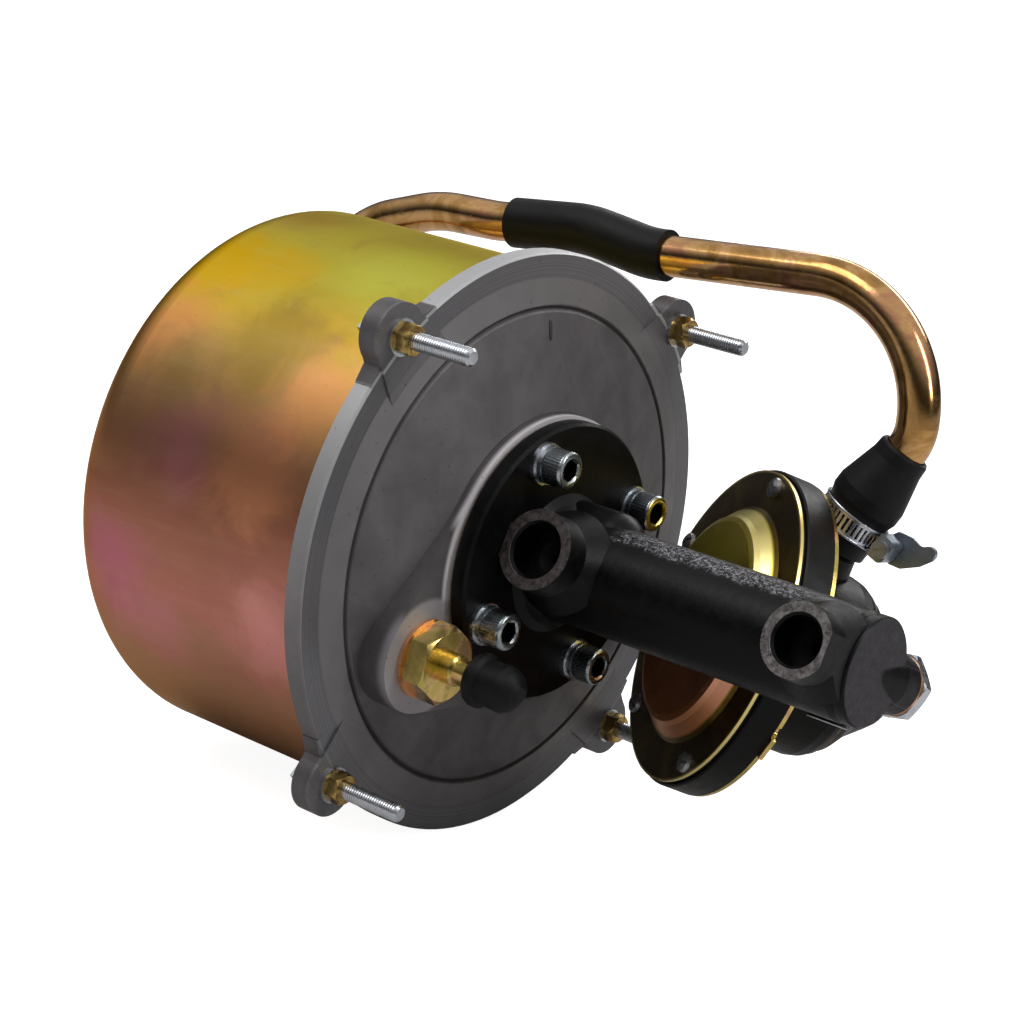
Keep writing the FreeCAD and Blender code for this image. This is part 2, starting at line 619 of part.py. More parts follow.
def hydraulic_cylinder():
    s = []
    s.append(turned([(FLANGE_BACK_X, 0), (FLANGE_BACK_X, FLANGE_R - 0.6), (FLANGE_BACK_X + 0.6, FLANGE_R),
                     (FLANGE_FRONT_X - 1.0, FLANGE_R), (FLANGE_FRONT_X, FLANGE_R - 1.0),
                     (FLANGE_FRONT_X, CYL_R + 6), (FLANGE_FRONT_X + 2, CYL_R + 3),
                     (FLANGE_FRONT_X + 6, CYL_R + 1), (FLANGE_FRONT_X + 12, CYL_R),
                     (CYL_END_X - 7, CYL_R), (CYL_END_X - 5.6, CYL_R - END_GROOVE),
                     (CYL_END_X - 4.2, END_RIM_R), (CYL_END_X - 0.8, END_RIM_R),
                     (CYL_END_X, END_RIM_R - 0.8), (CYL_END_X, 0)]))
    s.append(along_x(SPIGOT_R, SPIGOT_BACK_X, FLANGE_BACK_X + 1))
    for x, r in zip(PORT_X, PORT_BOSS_R):
        boss = rod(r, V(x, 0, 0), V(x, -PORT_FACE_U, 0))
        foot = Part.makeCone(r + 4.5, r, 9, V(x, -PORT_FACE_U + 19, 0), V(0, -1, 0))
        s.append(boss.fuse(foot).common(along_x(60, 0, CYL_END_X - 1)))
    # Rounded hump behind the inlet boss
    hump_x = FLANGE_FRONT_X + 10
    s.append(along_x(11.0, FLANGE_FRONT_X, hump_x + 8, 1, 12.5))
    s.append(Part.makeSphere(11.0, V(hump_x + 8, 1, 12.5)))
    # Lug with a machined foot under the outlet end
    s.append(rod(LUG_R, V(LUG_X, LUG_U, 0), V(LUG_X, LUG_U, -LUG_W)))
    # Cross boss of the closed end, tapped for the hexagon plug
    root_r = CYL_END_X - PLUG_X - 0.3
    s.append(Part.makeCone(root_r, PLUG_BOSS_R, CYL_R, V(PLUG_X, 0, 0), Y_AXIS))
    s.append(rod(PLUG_BOSS_R, V(PLUG_X, CYL_R, 0), V(PLUG_X, PLUG_BOSS_U, 0)))
    # Arm carrying line pressure to the relay piston
    wire = Part.makePolygon([V(x, u, -ARM_HALF_W) for x, u in arm_outline() + arm_outline()[:1]])
    s.append(Part.Face(wire).extrude(V(0, 0, 2 * ARM_HALF_W)))
    # Relay cylinder boss with its flange, coaxial with the valve
    joint = BODY_END_S + BODY_GASKET_T
    boss = turned([(joint, 0), (joint, BODY_END_R - 0.8), (joint + 3.2, BODY_END_R - 2.6),
                   (joint + 6.4, BODY_END_R - 6.2), (BOSS_END_S - 13, BODY_END_R - 9.2),
                   (BOSS_END_S - 4.5, BOSS_R + 3.5),
                   (BOSS_END_S - 1.5, BOSS_R + 1.0), (BOSS_END_S, BOSS_R - 1), (BOSS_END_S, 0)])
    placed = boss.copy()
    placed.Placement = FreeCAD.Placement(valve_matrix())
    s.append(placed)
    body = fused(s)
    # Bores, ports and drillings
    cuts = [along_x(BORE_R, SPIGOT_BACK_X - 1, BORE_END_X)]
    cuts.append(ring_x(BORE_R + 1.2, BORE_R - 1, SPIGOT_BACK_X + 2.0, SPIGOT_BACK_X + 3.6))
    for x, r in zip(PORT_X, PORT_BORE_R):
        face = V(x, -PORT_FACE_U - 1, 0)
        floor = V(x, -PORT_FACE_U + PORT_DEPTH, 0)
        cuts.append(rod(r, face, floor))
        cuts.append(Part.makeCone(r, r + 1.1, 1.1, V(x, -PORT_FACE_U + 1.1, 0), V(0, -1, 0)))
        cuts.append(rod(SEAT_R, floor, V(x, -PORT_FACE_U + PORT_DEPTH + SEAT_DEEP, 0)))
        cuts.append(rod(2.5, floor, V(x, -BORE_R + 1, 0)))
    for y, z in SCREW_SPOTS:
        cuts.append(along_x(CAP_THREAD_R + 0.4, FLANGE_BACK_X - 1, FLANGE_FRONT_X + 1, y, z))
        cuts.append(along_x(CAP_R + 1.6, FLANGE_FRONT_X, FLANGE_FRONT_X + 14, y, z))
    # Plug hole, then drillings along the cylinder wall and the arm to the relay bore
    arm_x = 0.5 * (ARM_X[0] + ARM_X[1])
    cuts.append(rod(PLUG_THREAD_R + THREAD_GAP, V(PLUG_X, PLUG_BOSS_U - PLUG_THREAD_L - 1, 0),
                    V(PLUG_X, PLUG_BOSS_U + 1, 0)))
    cuts.append(rod(2.2, V(PLUG_X, BORE_R - 2, 0), V(PLUG_X, PLUG_BOSS_U, 0)))
    cuts.append(rod(DRILL_R, V(PLUG_X, DRILL_U, 0), V(arm_x, DRILL_U, 0)))
    cuts.append(rod(DRILL_R, V(arm_x, DRILL_U - 1, 0), V(arm_x, ARM_BEND_U + 3, 0)))
    relay_end = V(*valve_plane_point(RELAY_BORE_END_S - 1.5, 0), 0)
    cuts.append(rod(DRILL_R, V(arm_x, ARM_BEND_U + 3, 0), relay_end))
    relay = [along_x(RELAY_BORE_R, BODY_END_S, RELAY_BORE_END_S)]
    for y, z in BODY_SCREW_SPOTS:
        relay.append(along_x(2.8, BODY_END_S, BODY_END_S + 9, y, z))
        relay.append(along_x(4.6, BODY_SCREW_S, BODY_SCREW_S + 14, y, z))
    relay.append(along_x(BODY_R + 1.5, BODY_START_S, joint))
    relay = fused(relay)
    relay.Placement = FreeCAD.Placement(valve_matrix())
    cuts.append(relay)
    return turn_casting(body.cut(group(cuts)))


RELAY_BORE_END_S = BOSS_END_S - 4.6
BODY_SCREW_SPOTS = [polar(BODY_SCREW_PCR, a) for a in (120, 180, 240)]


def cylinder_gasket():
    plate = ring_x(PAD_R - 2.0, SPIGOT_R + 0.1, PAD_X, FLANGE_BACK_X)
    holes = group([along_x(CAP_THREAD_R + 0.4, PAD_X - 1, FLANGE_BACK_X + 1, y, z) for y, z in SCREW_SPOTS])
    return plate.cut(turn_casting(holes))


def flange_screws():
    screws = []
    for y, z in SCREW_SPOTS:
        base = CAP_BASE_X
        screw = turned([(CAP_TIP_X, 0), (CAP_TIP_X, CAP_THREAD_R - 0.8), (CAP_TIP_X + 0.8, CAP_THREAD_R),
                        (base, CAP_THREAD_R), (base, CAP_R), (base + CAP_H - 0.7, CAP_R),
                        (base + CAP_H, CAP_R - 0.7), (base + CAP_H, 0)])
        screw.translate(V(0, y, z))
        socket = hexagon(6.6, base + CAP_H - 4.4, base + CAP_H + 3, y, z, 12)
        screws.append(turn_casting(screw.cut(socket)))
    return group(screws)


def flange_washers():
    rings = []
    for y, z in SCREW_SPOTS:
        x = FLANGE_FRONT_X
        plain = ring_x(CAP_R + 0.9, CAP_THREAD_R + 0.3, x, x + PLAIN_WASHER_T, y, z)
        rings.append(turn_casting(plain))
    return group(rings)


def flange_spring_washers():
    rings = []
    for y, z in SCREW_SPOTS:
        x = FLANGE_FRONT_X + PLAIN_WASHER_T
        ring = ring_x(CAP_R + 0.2, CAP_THREAD_R + 0.2, x, x + SPRING_WASHER_T, y, z)
        split = Part.makeBox(SPRING_WASHER_T + 1, 5, 0.8, V(x - 0.5, 0, -0.4))
        split.rotate(V(x, 0, 0), X_AXIS, 40)
        split.translate(V(0, y + 3.2, z + 2.2))
        rings.append(turn_casting(ring.cut(split)))
    return group(rings)


def port_seats():
    seats = []
    for x, r in zip(PORT_X, PORT_BORE_R):
        floor = -PORT_FACE_U + PORT_DEPTH + SEAT_DEEP
        profile = [(0, 1.8), (0, SEAT_R), (SEAT_DEEP - 0.1, SEAT_R), (SEAT_DEEP - 0.1, 5.2), (1.6, 1.8)]
        seat = turned(profile)
        seat.rotate(ORIGIN, Z_AXIS, -90)
        seat.translate(V(x, floor, 0))
        seats.append(turn_casting(seat))
    return group(seats)


# Relay valve pieces, each made in the valve frame and then placed
SEAT_S = RING_T
BODY_START_S = RING_T + SEAT_PLATE_T
COVER_BACK_S = -DIAPHRAGM_T
COVER_SCREW_SPOTS = [polar(COVER_SCREW_PCR, COVER_SCREW_ANGLE + 72 * i) for i in range(5)]
HOUSING_SCREW_SPOTS = [polar(HOUSING_SCREW_PCR, 60 + 90 * i) for i in range(4)]


def relay_housing():
    body = turned([(0, RING_IN), (0, RING_R - 0.6), (0.6, RING_R), (RING_T, RING_R), (RING_T, 12),
                   (RING_T - 4, 12), (RING_T - 4, RING_IN - 2), (RING_T - 6, RING_IN)])
    for y, z in COVER_SCREW_SPOTS:
        body = body.cut(along_x(2.0 + THREAD_GAP, -1, 8.5, y, z))
    for y, z in HOUSING_SCREW_SPOTS:
        body = body.cut(along_x(2.2, RING_T - 6, RING_T + 1, y, z))
    return place_valve(body)


def seat_plate():
    plate = ring_x(RING_R - 0.3, 8.0, SEAT_S, BODY_START_S)
    tab = Part.makeBox(SEAT_PLATE_T, 7.0, 9.0, V(SEAT_S, RING_R - 5.6, -4.5))
    tab.rotate(ORIGIN, X_AXIS, 35)
    notch = along_x(1.6, SEAT_S - 1, BODY_START_S + 1, *polar(RING_R + 0.2, 28))
    plate = plate.fuse(tab).removeSplitter().cut(notch)
    for y, z in HOUSING_SCREW_SPOTS:
        plate = plate.cut(along_x(2.2, SEAT_S - 1, BODY_START_S + 1, y, z))
    return place_valve(plate)


def dome_cover():
    b = COVER_BACK_S
    t = DOME_T
    top = b - t - DOME_H
    outer = [(b - t, DOME_FLANGE_R), (b - t, DOME_BASE_R + 1.2), (b - t - 1.0, DOME_BASE_R),
             (top + 2.4, DOME_TOP_R + 1.6), (top + 0.7, DOME_TOP_R + 0.4), (top, DOME_TOP_R - 1.6), (top, 0)]
    inner = [(top + t, 0), (top + t, DOME_TOP_R - 2.0), (top + 2.9, DOME_TOP_R + 0.2),
             (b - 1.0, DOME_BASE_R - 1.2), (b, DOME_BASE_R + 0.4), (b, DOME_FLANGE_R)]
    cover = turned(outer + inner)
    for y, z in COVER_SCREW_SPOTS:
        cover = cover.cut(along_x(2.2, b - t - 1, b + 1, y, z))
    return place_valve(cover)


def cover_screws():
    screws = []
    base = COVER_BACK_S - DOME_T
    for i, (y, z) in enumerate(COVER_SCREW_SPOTS):
        screw = turned([(base + 10, 0), (base + 10, 1.4), (base + 9.4, 2.0), (base, 2.0), (base, 3.9),
                        (base - 1.5, 3.6), (base - 2.3, 2.2), (base - 2.5, 0)])
        slot = Part.makeBox(1.6, 0.9, 9, V(base - 3.0, -0.45, -4.5)).fuse(
            Part.makeBox(1.6, 9, 0.9, V(base - 3.0, -4.5, -0.45)))
        screw = screw.cut(slot)
        screw.rotate(ORIGIN, X_AXIS, 31 * i)
        screw.translate(V(0, y, z))
        screws.append(place_valve(screw))
    return group(screws)


def relay_diaphragm():
    b = COVER_BACK_S
    t = DIAPHRAGM_T
    web = turned([(b, DOME_FLANGE_R - 0.4), (0, DOME_FLANGE_R - 0.4), (0, 43.0), (1.6, 39.0), (1.6, 36.0),
                  (0, 32.0), (0, 4.0), (b, 4.0), (b, 33.0), (0.6, 36.6), (0.6, 38.4), (b, 42.4)])
    for y, z in COVER_SCREW_SPOTS:
        web = web.cut(along_x(2.2, b - 1, 1, y, z))
    return place_valve(web)


def diaphragm_plates():
    b = COVER_BACK_S
    upper = turned([(b - 1.2, 3.0), (b, 3.0), (b, 30.0), (b - 0.8, 31.0), (b - 1.2, 30.4)])
    lower = turned([(0, 3.0), (0, 30.0), (0.8, 30.6), (1.2, 30.0), (1.2, 3.0)])
    return place_valve(group([upper, lower]))


def relay_spring():
    start = COVER_BACK_S - DOME_H
    return place_valve(coil(13.0, 0.55, start, COVER_BACK_S - 1.2, 2.0))


PISTON_S = BODY_END_S + 4.4


def relay_piston():
    r = RELAY_BORE_R - RUN_GAP
    head = COVER_BACK_S - 1.2 - 2.0
    shape = turned([(head, 0), (head, 5.0), (COVER_BACK_S - 1.2, 5.0), (COVER_BACK_S - 1.2, 3.0), (5.6, 3.0),
                    (5.6, 3.6), (7.0, 3.6), (7.0, 3.0), (PISTON_S, 3.0), (PISTON_S, r), (PISTON_S + 8, r),
                    (PISTON_S + 8, 3.2), (PISTON_S + 11, 3.2), (PISTON_S + 11, 0)])
    return place_valve(shape)


def relay_cup():
    x = PISTON_S + 8
    r = RELAY_BORE_R - CUP_GAP
    return place_valve(turned([(x, 3.2), (x, r), (x + 3.0, r), (x + 3.0, r - 1.2), (x + 1.4, r - 1.8),
                               (x + 1.4, 4.4), (x + 2.8, 4.0), (x + 2.8, 3.2)]))


def relay_poppet():
    disc = turned([(7.0, 3.0), (7.0, 9.0), (8.4, 11.0), (RING_T - 0.3, 11.0), (RING_T - 0.3, 3.0)])
    return place_valve(disc)


def valve_body():
    start = BODY_START_S
    outer = turned([(start, 0), (start, BODY_R), (BODY_STRAIGHT_S, BODY_R), (BODY_END_S - 2, BODY_R - 0.9),
                    (BODY_END_S, BODY_END_R), (BODY_END_S, 0)])
    neck = turned([(-27, 0), (-27, NECK_R), (NECK_END - 4, NECK_R), (NECK_END - 3.4, NECK_R + 0.4),
                   (NECK_END - 2.2, NECK_R + 0.4), (NECK_END, NECK_R - 1.0), (NECK_END, 0)])
    root = turned([(-26, 0), (-26, NECK_R + 3.4), (-18, NECK_R + 2.6), (-12, NECK_R + 0.8), (-11, NECK_R),
                   (-11, 0)])
    near_side = along_x(200, BODY_START_S, BODY_START_S + 200)
    body = fused([outer, hose_local(neck).common(near_side), hose_local(root).common(near_side)])
    body = body.cut(turned([(start - 1, 0), (start - 1, CAVITY_R), (28.0, CAVITY_R), (34.0, CAVITY_R - 9),
                            (34.0, 0)]))
    body = body.cut(hose_local(along_x(NECK_R - 2.6, -38, NECK_END + 1)))
    body = body.cut(along_x(3.0 + RUN_GAP + 0.05, 30, BODY_END_S + 1))
    for sy, sz in HOUSING_SCREW_SPOTS:
        body = body.cut(along_x(2.0 + THREAD_GAP, start - 1, start + 11, sy, sz))
    for sy, sz in BODY_SCREW_SPOTS:
        body = body.cut(along_x(2.5 + THREAD_GAP, BODY_SCREW_S - BODY_SCREW_L - 1, BODY_END_S + 1, sy, sz))
    return place_valve(body)


def housing_screws():
    screws = []
    base = RING_T - 4
    for y, z in HOUSING_SCREW_SPOTS:
        screw = turned([(base - 2.4, 0), (base - 2.4, 3.4), (base, 3.6), (base, 2.0), (base + 14, 2.0),
                        (base + 14, 0)])
        screw.translate(V(0, y, z))
        screws.append(place_valve(screw))
    return group(screws)


def body_screws():
    screws = []
    base = BODY_SCREW_S
    for y, z in BODY_SCREW_SPOTS:
        screw = turned([(base - BODY_SCREW_L, 0), (base - BODY_SCREW_L, 2.5), (base, 2.5), (base, 4.2),
                        (base + 5, 4.2), (base + 5, 0)])
        screw.translate(V(0, y, z))
        socket = hexagon(4.0, base + 2.4, base + 8, y, z, 10)
        screws.append(place_valve(screw.cut(socket)))
    return group(screws)


def body_gasket():
    plate = ring_x(BODY_END_R - 0.4, RELAY_BORE_R + 1.0, BODY_END_S, BODY_END_S + BODY_GASKET_T)
    for y, z in BODY_SCREW_SPOTS:
        plate = plate.cut(along_x(2.8, BODY_END_S - 1, BODY_END_S + 2, y, z))
    return place_valve(plate)


PLUG_WASHER_T = 1.2


def place_plug(shape):
    """Move a shape made along X to the cross boss, with X pointing out of it."""
    shape = shape.copy()
    shape.rotate(ORIGIN, Z_AXIS, 90)
    shape.translate(V(PLUG_X, PLUG_BOSS_U, 0))
    return turn_casting(shape)


def plug_washer():
    return place_plug(ring_x(PLUG_AF / 2, PLUG_THREAD_R + 0.1, 0, PLUG_WASHER_T))


def hex_plug():
    head = hexagon(PLUG_AF, PLUG_WASHER_T, PLUG_WASHER_T + PLUG_HEAD, 0, 0, 50)
    shank = turned([
        (-PLUG_THREAD_L, 0), (-PLUG_THREAD_L, PLUG_THREAD_R - 1), (1 - PLUG_THREAD_L, PLUG_THREAD_R),
                    (PLUG_WASHER_T, PLUG_THREAD_R), (PLUG_WASHER_T, 0)])
    return place_plug(fused([head, shank]))


# Vacuum union
def vacuum_union():
    x = PAD_X + UNION_WASHER_T
    head = hexagon(UNION_AF, x, x + UNION_HEX_T, UNION_Y, UNION_Z, 22)
    shank = along_x(UNION_THREAD_R, HUB_BACK_X + 1, x, UNION_Y, UNION_Z)
    hx = x + UNION_HEX_T
    nipple = turned([(x + 1, 0), (x + 1, NIPPLE_R), (hx + 0.01, NIPPLE_R), (hx + 0.01, NIPPLE_R + 0.9),
                     (hx + 4.5, NIPPLE_R + 0.9), (hx + 5.2, NIPPLE_R), (NIPPLE_END_X - 4, NIPPLE_R),
                     (NIPPLE_END_X - 3.4, NIPPLE_R + 0.3), (NIPPLE_END_X - 2.6, NIPPLE_R + 0.3),
                     (NIPPLE_END_X, NIPPLE_R - 0.8), (NIPPLE_END_X, 0)])
    nipple.translate(V(0, UNION_Y, UNION_Z))
    body = fused([head, shank, nipple])
    body = body.cut(along_x(5.8, HUB_BACK_X - 1, x + 5, UNION_Y, UNION_Z))
    return body.cut(along_x(2.8, HUB_BACK_X, NIPPLE_END_X + 1, UNION_Y, UNION_Z))


def union_washer():
    return ring_x(UNION_AF / 2 + 1.6, UNION_THREAD_R + 0.1, PAD_X, PAD_X + UNION_WASHER_T, UNION_Y, UNION_Z)


CHECK_X = HUB_BACK_X + 3.5


def check_disc():
    disc = along_x(5.4, CHECK_X, CHECK_X + 1.6, UNION_Y, UNION_Z)
    stem = along_x(1.4, CHECK_X + 1.6, CHECK_X + 8, UNION_Y, UNION_Z)
    return fused([disc, stem])


def check_seat():
    return ring_x(5.8, 3.2, HUB_BACK_X + 1, CHECK_X, UNION_Y, UNION_Z)


def check_spring():
    spring = coil(4.3, 0.45, CHECK_X + 1.6, PAD_X + UNION_WASHER_T + 5, 5)
    spring.translate(V(0, UNION_Y, UNION_Z))
    return spring


def dust_cap():
    gap = 0.1
    inner = NIPPLE_R + 0.3 + gap
    a = CAP_START_X
    b = CAP_END_X
    r = CAP_OUT_R
    cap = turned([(a, inner), (a, r - 0.6), (a + 1.2, r), (a + 3.2, r), (a + 4.4, r - 1.6), (b - 6, r - 1.2),
                  (b - 3.4, r - 2.4), (b - 1.2, r - 4.6), (b, r - 6.8), (b, 0), (NIPPLE_END_X + 0.3, 0),
                  (NIPPLE_END_X + 0.3, inner)])
    cap.translate(V(0, UNION_Y, UNION_Z))
    return cap


# Hose, clamp and pipes
def hose_local(shape):
    """Move a shape made along X onto the hose axis, in the valve frame, zero at the clamp."""
    angle = math.radians(NECK_ANGLE)
    lean = math.radians(NECK_LEAN)
    direction = V(math.sin(lean), math.cos(lean) * math.cos(angle), -math.cos(lean) * math.sin(angle))
    base = V(BAND_S, BAND_SIDE, -BAND_UP)
    shape = shape.copy()
    shape.Placement = FreeCAD.Placement(base, FreeCAD.Rotation(X_AXIS, direction)).multiply(shape.Placement)
    return shape


def on_hose(shape):
    """Place a shape made along X onto the hose axis in the booster frame."""
    return place_valve(hose_local(shape))


def hose_point(reach):
    """Booster frame point on the hose axis at a reach from the clamp."""
    return on_hose(Part.Vertex(reach, 0, 0)).Point


def valve_hose():
    a = HOSE_START
    b = HOSE_END
    half = BAND_W / 2
    inner_neck = NECK_R + THREAD_GAP
    inner_pipe = PIPE_R + THREAD_GAP
    return on_hose(turned([
        (a, inner_neck), (a, HOSE_R), (half + 0.4, HOSE_R),
        (half + 3.5, HOSE_BULGE_R), (half + 8, HOSE_BULGE_R),
        (b - 5, HOSE_TOP_R + 0.3), (b - 1, HOSE_TOP_R), (b, HOSE_TOP_R - 0.5), (b, inner_pipe + 0.5),
        (b - 3, inner_pipe), (b - 14, inner_pipe), (NECK_END + 1.5, inner_neck + 0.4),
        (NECK_END - 4.1, inner_neck + 0.4), (NECK_END - 4.4, inner_neck)]))


def clamp_band():
    a = -BAND_W / 2
    b = BAND_W / 2
    face = HOSE_R + BAND_T
    edge = face + BAND_EDGE
    return clamp_turned(turned([(a, HOSE_R), (a, edge), (a + 0.8, edge), (a + 0.8, face), (b - 0.8, face),
                                (b - 0.8, edge), (b, edge), (b, HOSE_R)]))


def clamp_turned(shape):
    """Turn a clamp piece about the hose axis, then place it on the hose."""
    shape = shape.copy()
    shape.rotate(ORIGIN, X_AXIS, CLAMP_TURN)
    return on_hose(shape)


SCREW_AXIS_R = HOSE_R + BAND_T + BAND_EDGE + 3.4
SCREW_HOLE_R = 2.3
HOUSING_HALF = 5.4


def clamp_housing():
    half = BAND_W / 2 + 0.6
    base = HOSE_R + BAND_T + BAND_EDGE + 0.02
    top = SCREW_AXIS_R + 3.0
    box = Part.makeBox(2 * half, top - base, 2 * HOUSING_HALF, V(-half, base, -HOUSING_HALF))
    crown = [e for e in box.Edges
             if abs(e.Length - 2 * HOUSING_HALF) < 1e-6 and e.CenterOfMass.y > SCREW_AXIS_R]
    box = box.makeFillet(2.2, crown)
    hole = rod(SCREW_HOLE_R + 0.1, V(0, SCREW_AXIS_R, -8), V(0, SCREW_AXIS_R, 8))
    return clamp_turned(box.cut(hole))


LEVER_OUTLINE = [(-2.0, -4.4), (3.0, -6.2), (7.8, -3.7), (10.6, -0.6), (15.2, 0.4), (15.2, 4.6), (9.5, 6.6),
                 (2.5, 6.9), (-2.0, 4.8)]
LEVER_TURN = 46.8
LEVER_T = 1.6


def clamp_screw():
    z = HOUSING_HALF + 0.3
    head = rod(3.2, V(0, 0, -HOUSING_HALF - 2.4), V(0, 0, -HOUSING_HALF - 0.3))
    slot = Part.makeBox(8, 0.8, 1.0, V(-4, -0.4, -HOUSING_HALF - 2.5))
    shank = rod(SCREW_HOLE_R, V(0, 0, -HOUSING_HALF - 1), V(0, 0, z + 0.5))
    wire = Part.makePolygon([V(a, b, z) for a, b in LEVER_OUTLINE + LEVER_OUTLINE[:1]])
    lever = Part.Face(wire).extrude(V(0, 0, LEVER_T))
    corners = [e for e in lever.Edges if abs(e.Length - LEVER_T) < 1e-6]
    lever = lever.makeFillet(1.3, corners)
    knob = rod(2.6, V(13.4, 2.2, z - 0.7), V(13.4, 2.2, z + LEVER_T + 0.7))
    screw = fused([head.cut(slot), shank, lever, knob])
    screw.rotate(ORIGIN, Z_AXIS, LEVER_TURN)
    screw.translate(V(0, SCREW_AXIS_R, 0))
    return clamp_turned(screw)


def between(start, end, reach):
    """Point at a reach from the start towards the end."""
    return start.add(end.sub(start).normalize().multiply(reach))


DIP = V(*PIPE_DIP)
CREST = V(*PIPE_CREST)
BACK = V(*PIPE_BACK)


def front_pipe():
    split = between(DIP, CREST, PIPE_SPLIT - 0.5)
    path = bent_path([hose_point(HOSE_END - 16), hose_point(HOSE_END + 5), V(*PIPE_TOP), DIP, split],
                     PIPE_BENDS[:3])
    return swept(path, PIPE_R).cut(swept(path, PIPE_R - PIPE_WALL))


def rear_pipe():
    split = between(DIP, CREST, PIPE_SPLIT + 0.5)
    behind = -SHELL_DEPTH - PIPE_BEHIND
    path = bent_path([split, CREST, BACK, V(*PIPE_FALL), V(behind, *PIPE_DROP),
                      V(behind, REAR_PORT_Y, REAR_PORT_Z), V(5.0 - SHELL_DEPTH, REAR_PORT_Y, REAR_PORT_Z)],
                     PIPE_BENDS[3:])
    return swept(path, PIPE_R).cut(swept(path, PIPE_R - PIPE_WALL))


def pipe_sleeve():
    front = between(DIP, V(*PIPE_TOP), SLEEVE_ENDS[0])
    end = between(CREST, BACK, SLEEVE_ENDS[1])
    path = bent_path([front, DIP, CREST, end], PIPE_BENDS[2:4])
    return swept(path, SLEEVE_R).cut(swept(path, PIPE_R + THREAD_GAP))


def shell_grommet():
    back = -SHELL_DEPTH
    bore = PIPE_R + THREAD_GAP
    g = turned([(back - 3.2, bore), (back - 3.2, 12.0), (back - 2.4, 13.0), (back, 13.0),
                (back, GROMMET_NECK_R), (back + SHELL_T, GROMMET_NECK_R), (back + SHELL_T, 12.6),
                (back + SHELL_T + 2.2, 12.0), (back + SHELL_T + 2.2, bore)])
    g.translate(V(0, REAR_PORT_Y, REAR_PORT_Z))
    return g


NODES = [rear_shell, shell_seal, front_cover, tie_studs, tie_washers, tie_nuts, power_piston_plate,
         power_piston_cup, power_piston_retainer, rod_nut, push_rod, piston_pin, return_spring, rod_guide,
         rod_seal, guide_clip, hydraulic_piston, piston_cup, check_ball, check_retainer, hydraulic_cylinder,
         cylinder_gasket, flange_screws, flange_washers, flange_spring_washers, port_seats, relay_housing,
         seat_plate, dome_cover, cover_screws, relay_diaphragm, diaphragm_plates, relay_spring,
         relay_piston, relay_cup, relay_poppet, valve_body, housing_screws, body_screws, body_gasket,
         plug_washer, hex_plug, vacuum_union, union_washer, check_disc, check_seat, check_spring, dust_cap,
         valve_hose, clamp_band, clamp_housing, clamp_screw, front_pipe, rear_pipe, pipe_sleeve,
         shell_grommet]

os.makedirs("parts", exist_ok=True)
for node in NODES:
    shape = node()
    shape.exportStep("parts/" + node.__name__ + ".step")
    print(node.__name__, len(shape.Solids), shape.isValid(), round(shape.Volume))
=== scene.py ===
"""Dressed model of a remote vacuum brake booster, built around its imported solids.

Frame: metres, +X along the booster axis towards the hydraulic cylinder, +Z up, origin on the
axis in the plane of the cover's outer ring.
"""

import enum
import logging
import math
from dataclasses import dataclass
from typing import Dict, List, Optional, Sequence, Tuple

import bpy
import numpy as np
from mathutils import Matrix, Vector

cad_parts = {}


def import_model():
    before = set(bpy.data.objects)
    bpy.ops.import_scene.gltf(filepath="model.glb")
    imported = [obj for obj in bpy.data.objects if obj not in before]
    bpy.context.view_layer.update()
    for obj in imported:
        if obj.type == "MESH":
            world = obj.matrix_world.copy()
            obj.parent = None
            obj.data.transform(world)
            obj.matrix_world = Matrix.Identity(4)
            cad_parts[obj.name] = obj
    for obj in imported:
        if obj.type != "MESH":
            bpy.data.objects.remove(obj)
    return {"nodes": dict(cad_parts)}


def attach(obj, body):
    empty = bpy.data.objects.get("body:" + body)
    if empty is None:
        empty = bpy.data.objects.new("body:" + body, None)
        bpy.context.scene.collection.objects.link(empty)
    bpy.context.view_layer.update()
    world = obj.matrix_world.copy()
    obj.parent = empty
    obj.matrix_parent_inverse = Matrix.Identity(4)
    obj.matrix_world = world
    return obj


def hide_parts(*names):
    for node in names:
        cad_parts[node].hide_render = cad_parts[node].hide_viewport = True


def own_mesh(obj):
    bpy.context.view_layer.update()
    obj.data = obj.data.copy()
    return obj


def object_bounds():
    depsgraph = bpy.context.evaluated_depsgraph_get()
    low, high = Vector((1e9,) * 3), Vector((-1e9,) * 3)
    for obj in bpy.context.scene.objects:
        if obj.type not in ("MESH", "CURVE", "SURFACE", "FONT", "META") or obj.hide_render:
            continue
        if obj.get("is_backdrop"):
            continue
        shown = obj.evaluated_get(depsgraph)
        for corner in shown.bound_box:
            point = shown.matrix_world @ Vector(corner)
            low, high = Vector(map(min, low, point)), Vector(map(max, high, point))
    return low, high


LOG = logging.getLogger("booster")
MM = 0.001
FULL_TURN = 2 * math.pi
Colour = Tuple[float, float, float]
Place = Tuple[float, float, float]
Pair = Tuple[float, float]
Stops = Sequence[Tuple[float, Colour]]
Surface = Tuple[np.ndarray, List]
Material = bpy.types.Material
Piece = bpy.types.Object
Socket = bpy.types.NodeSocket


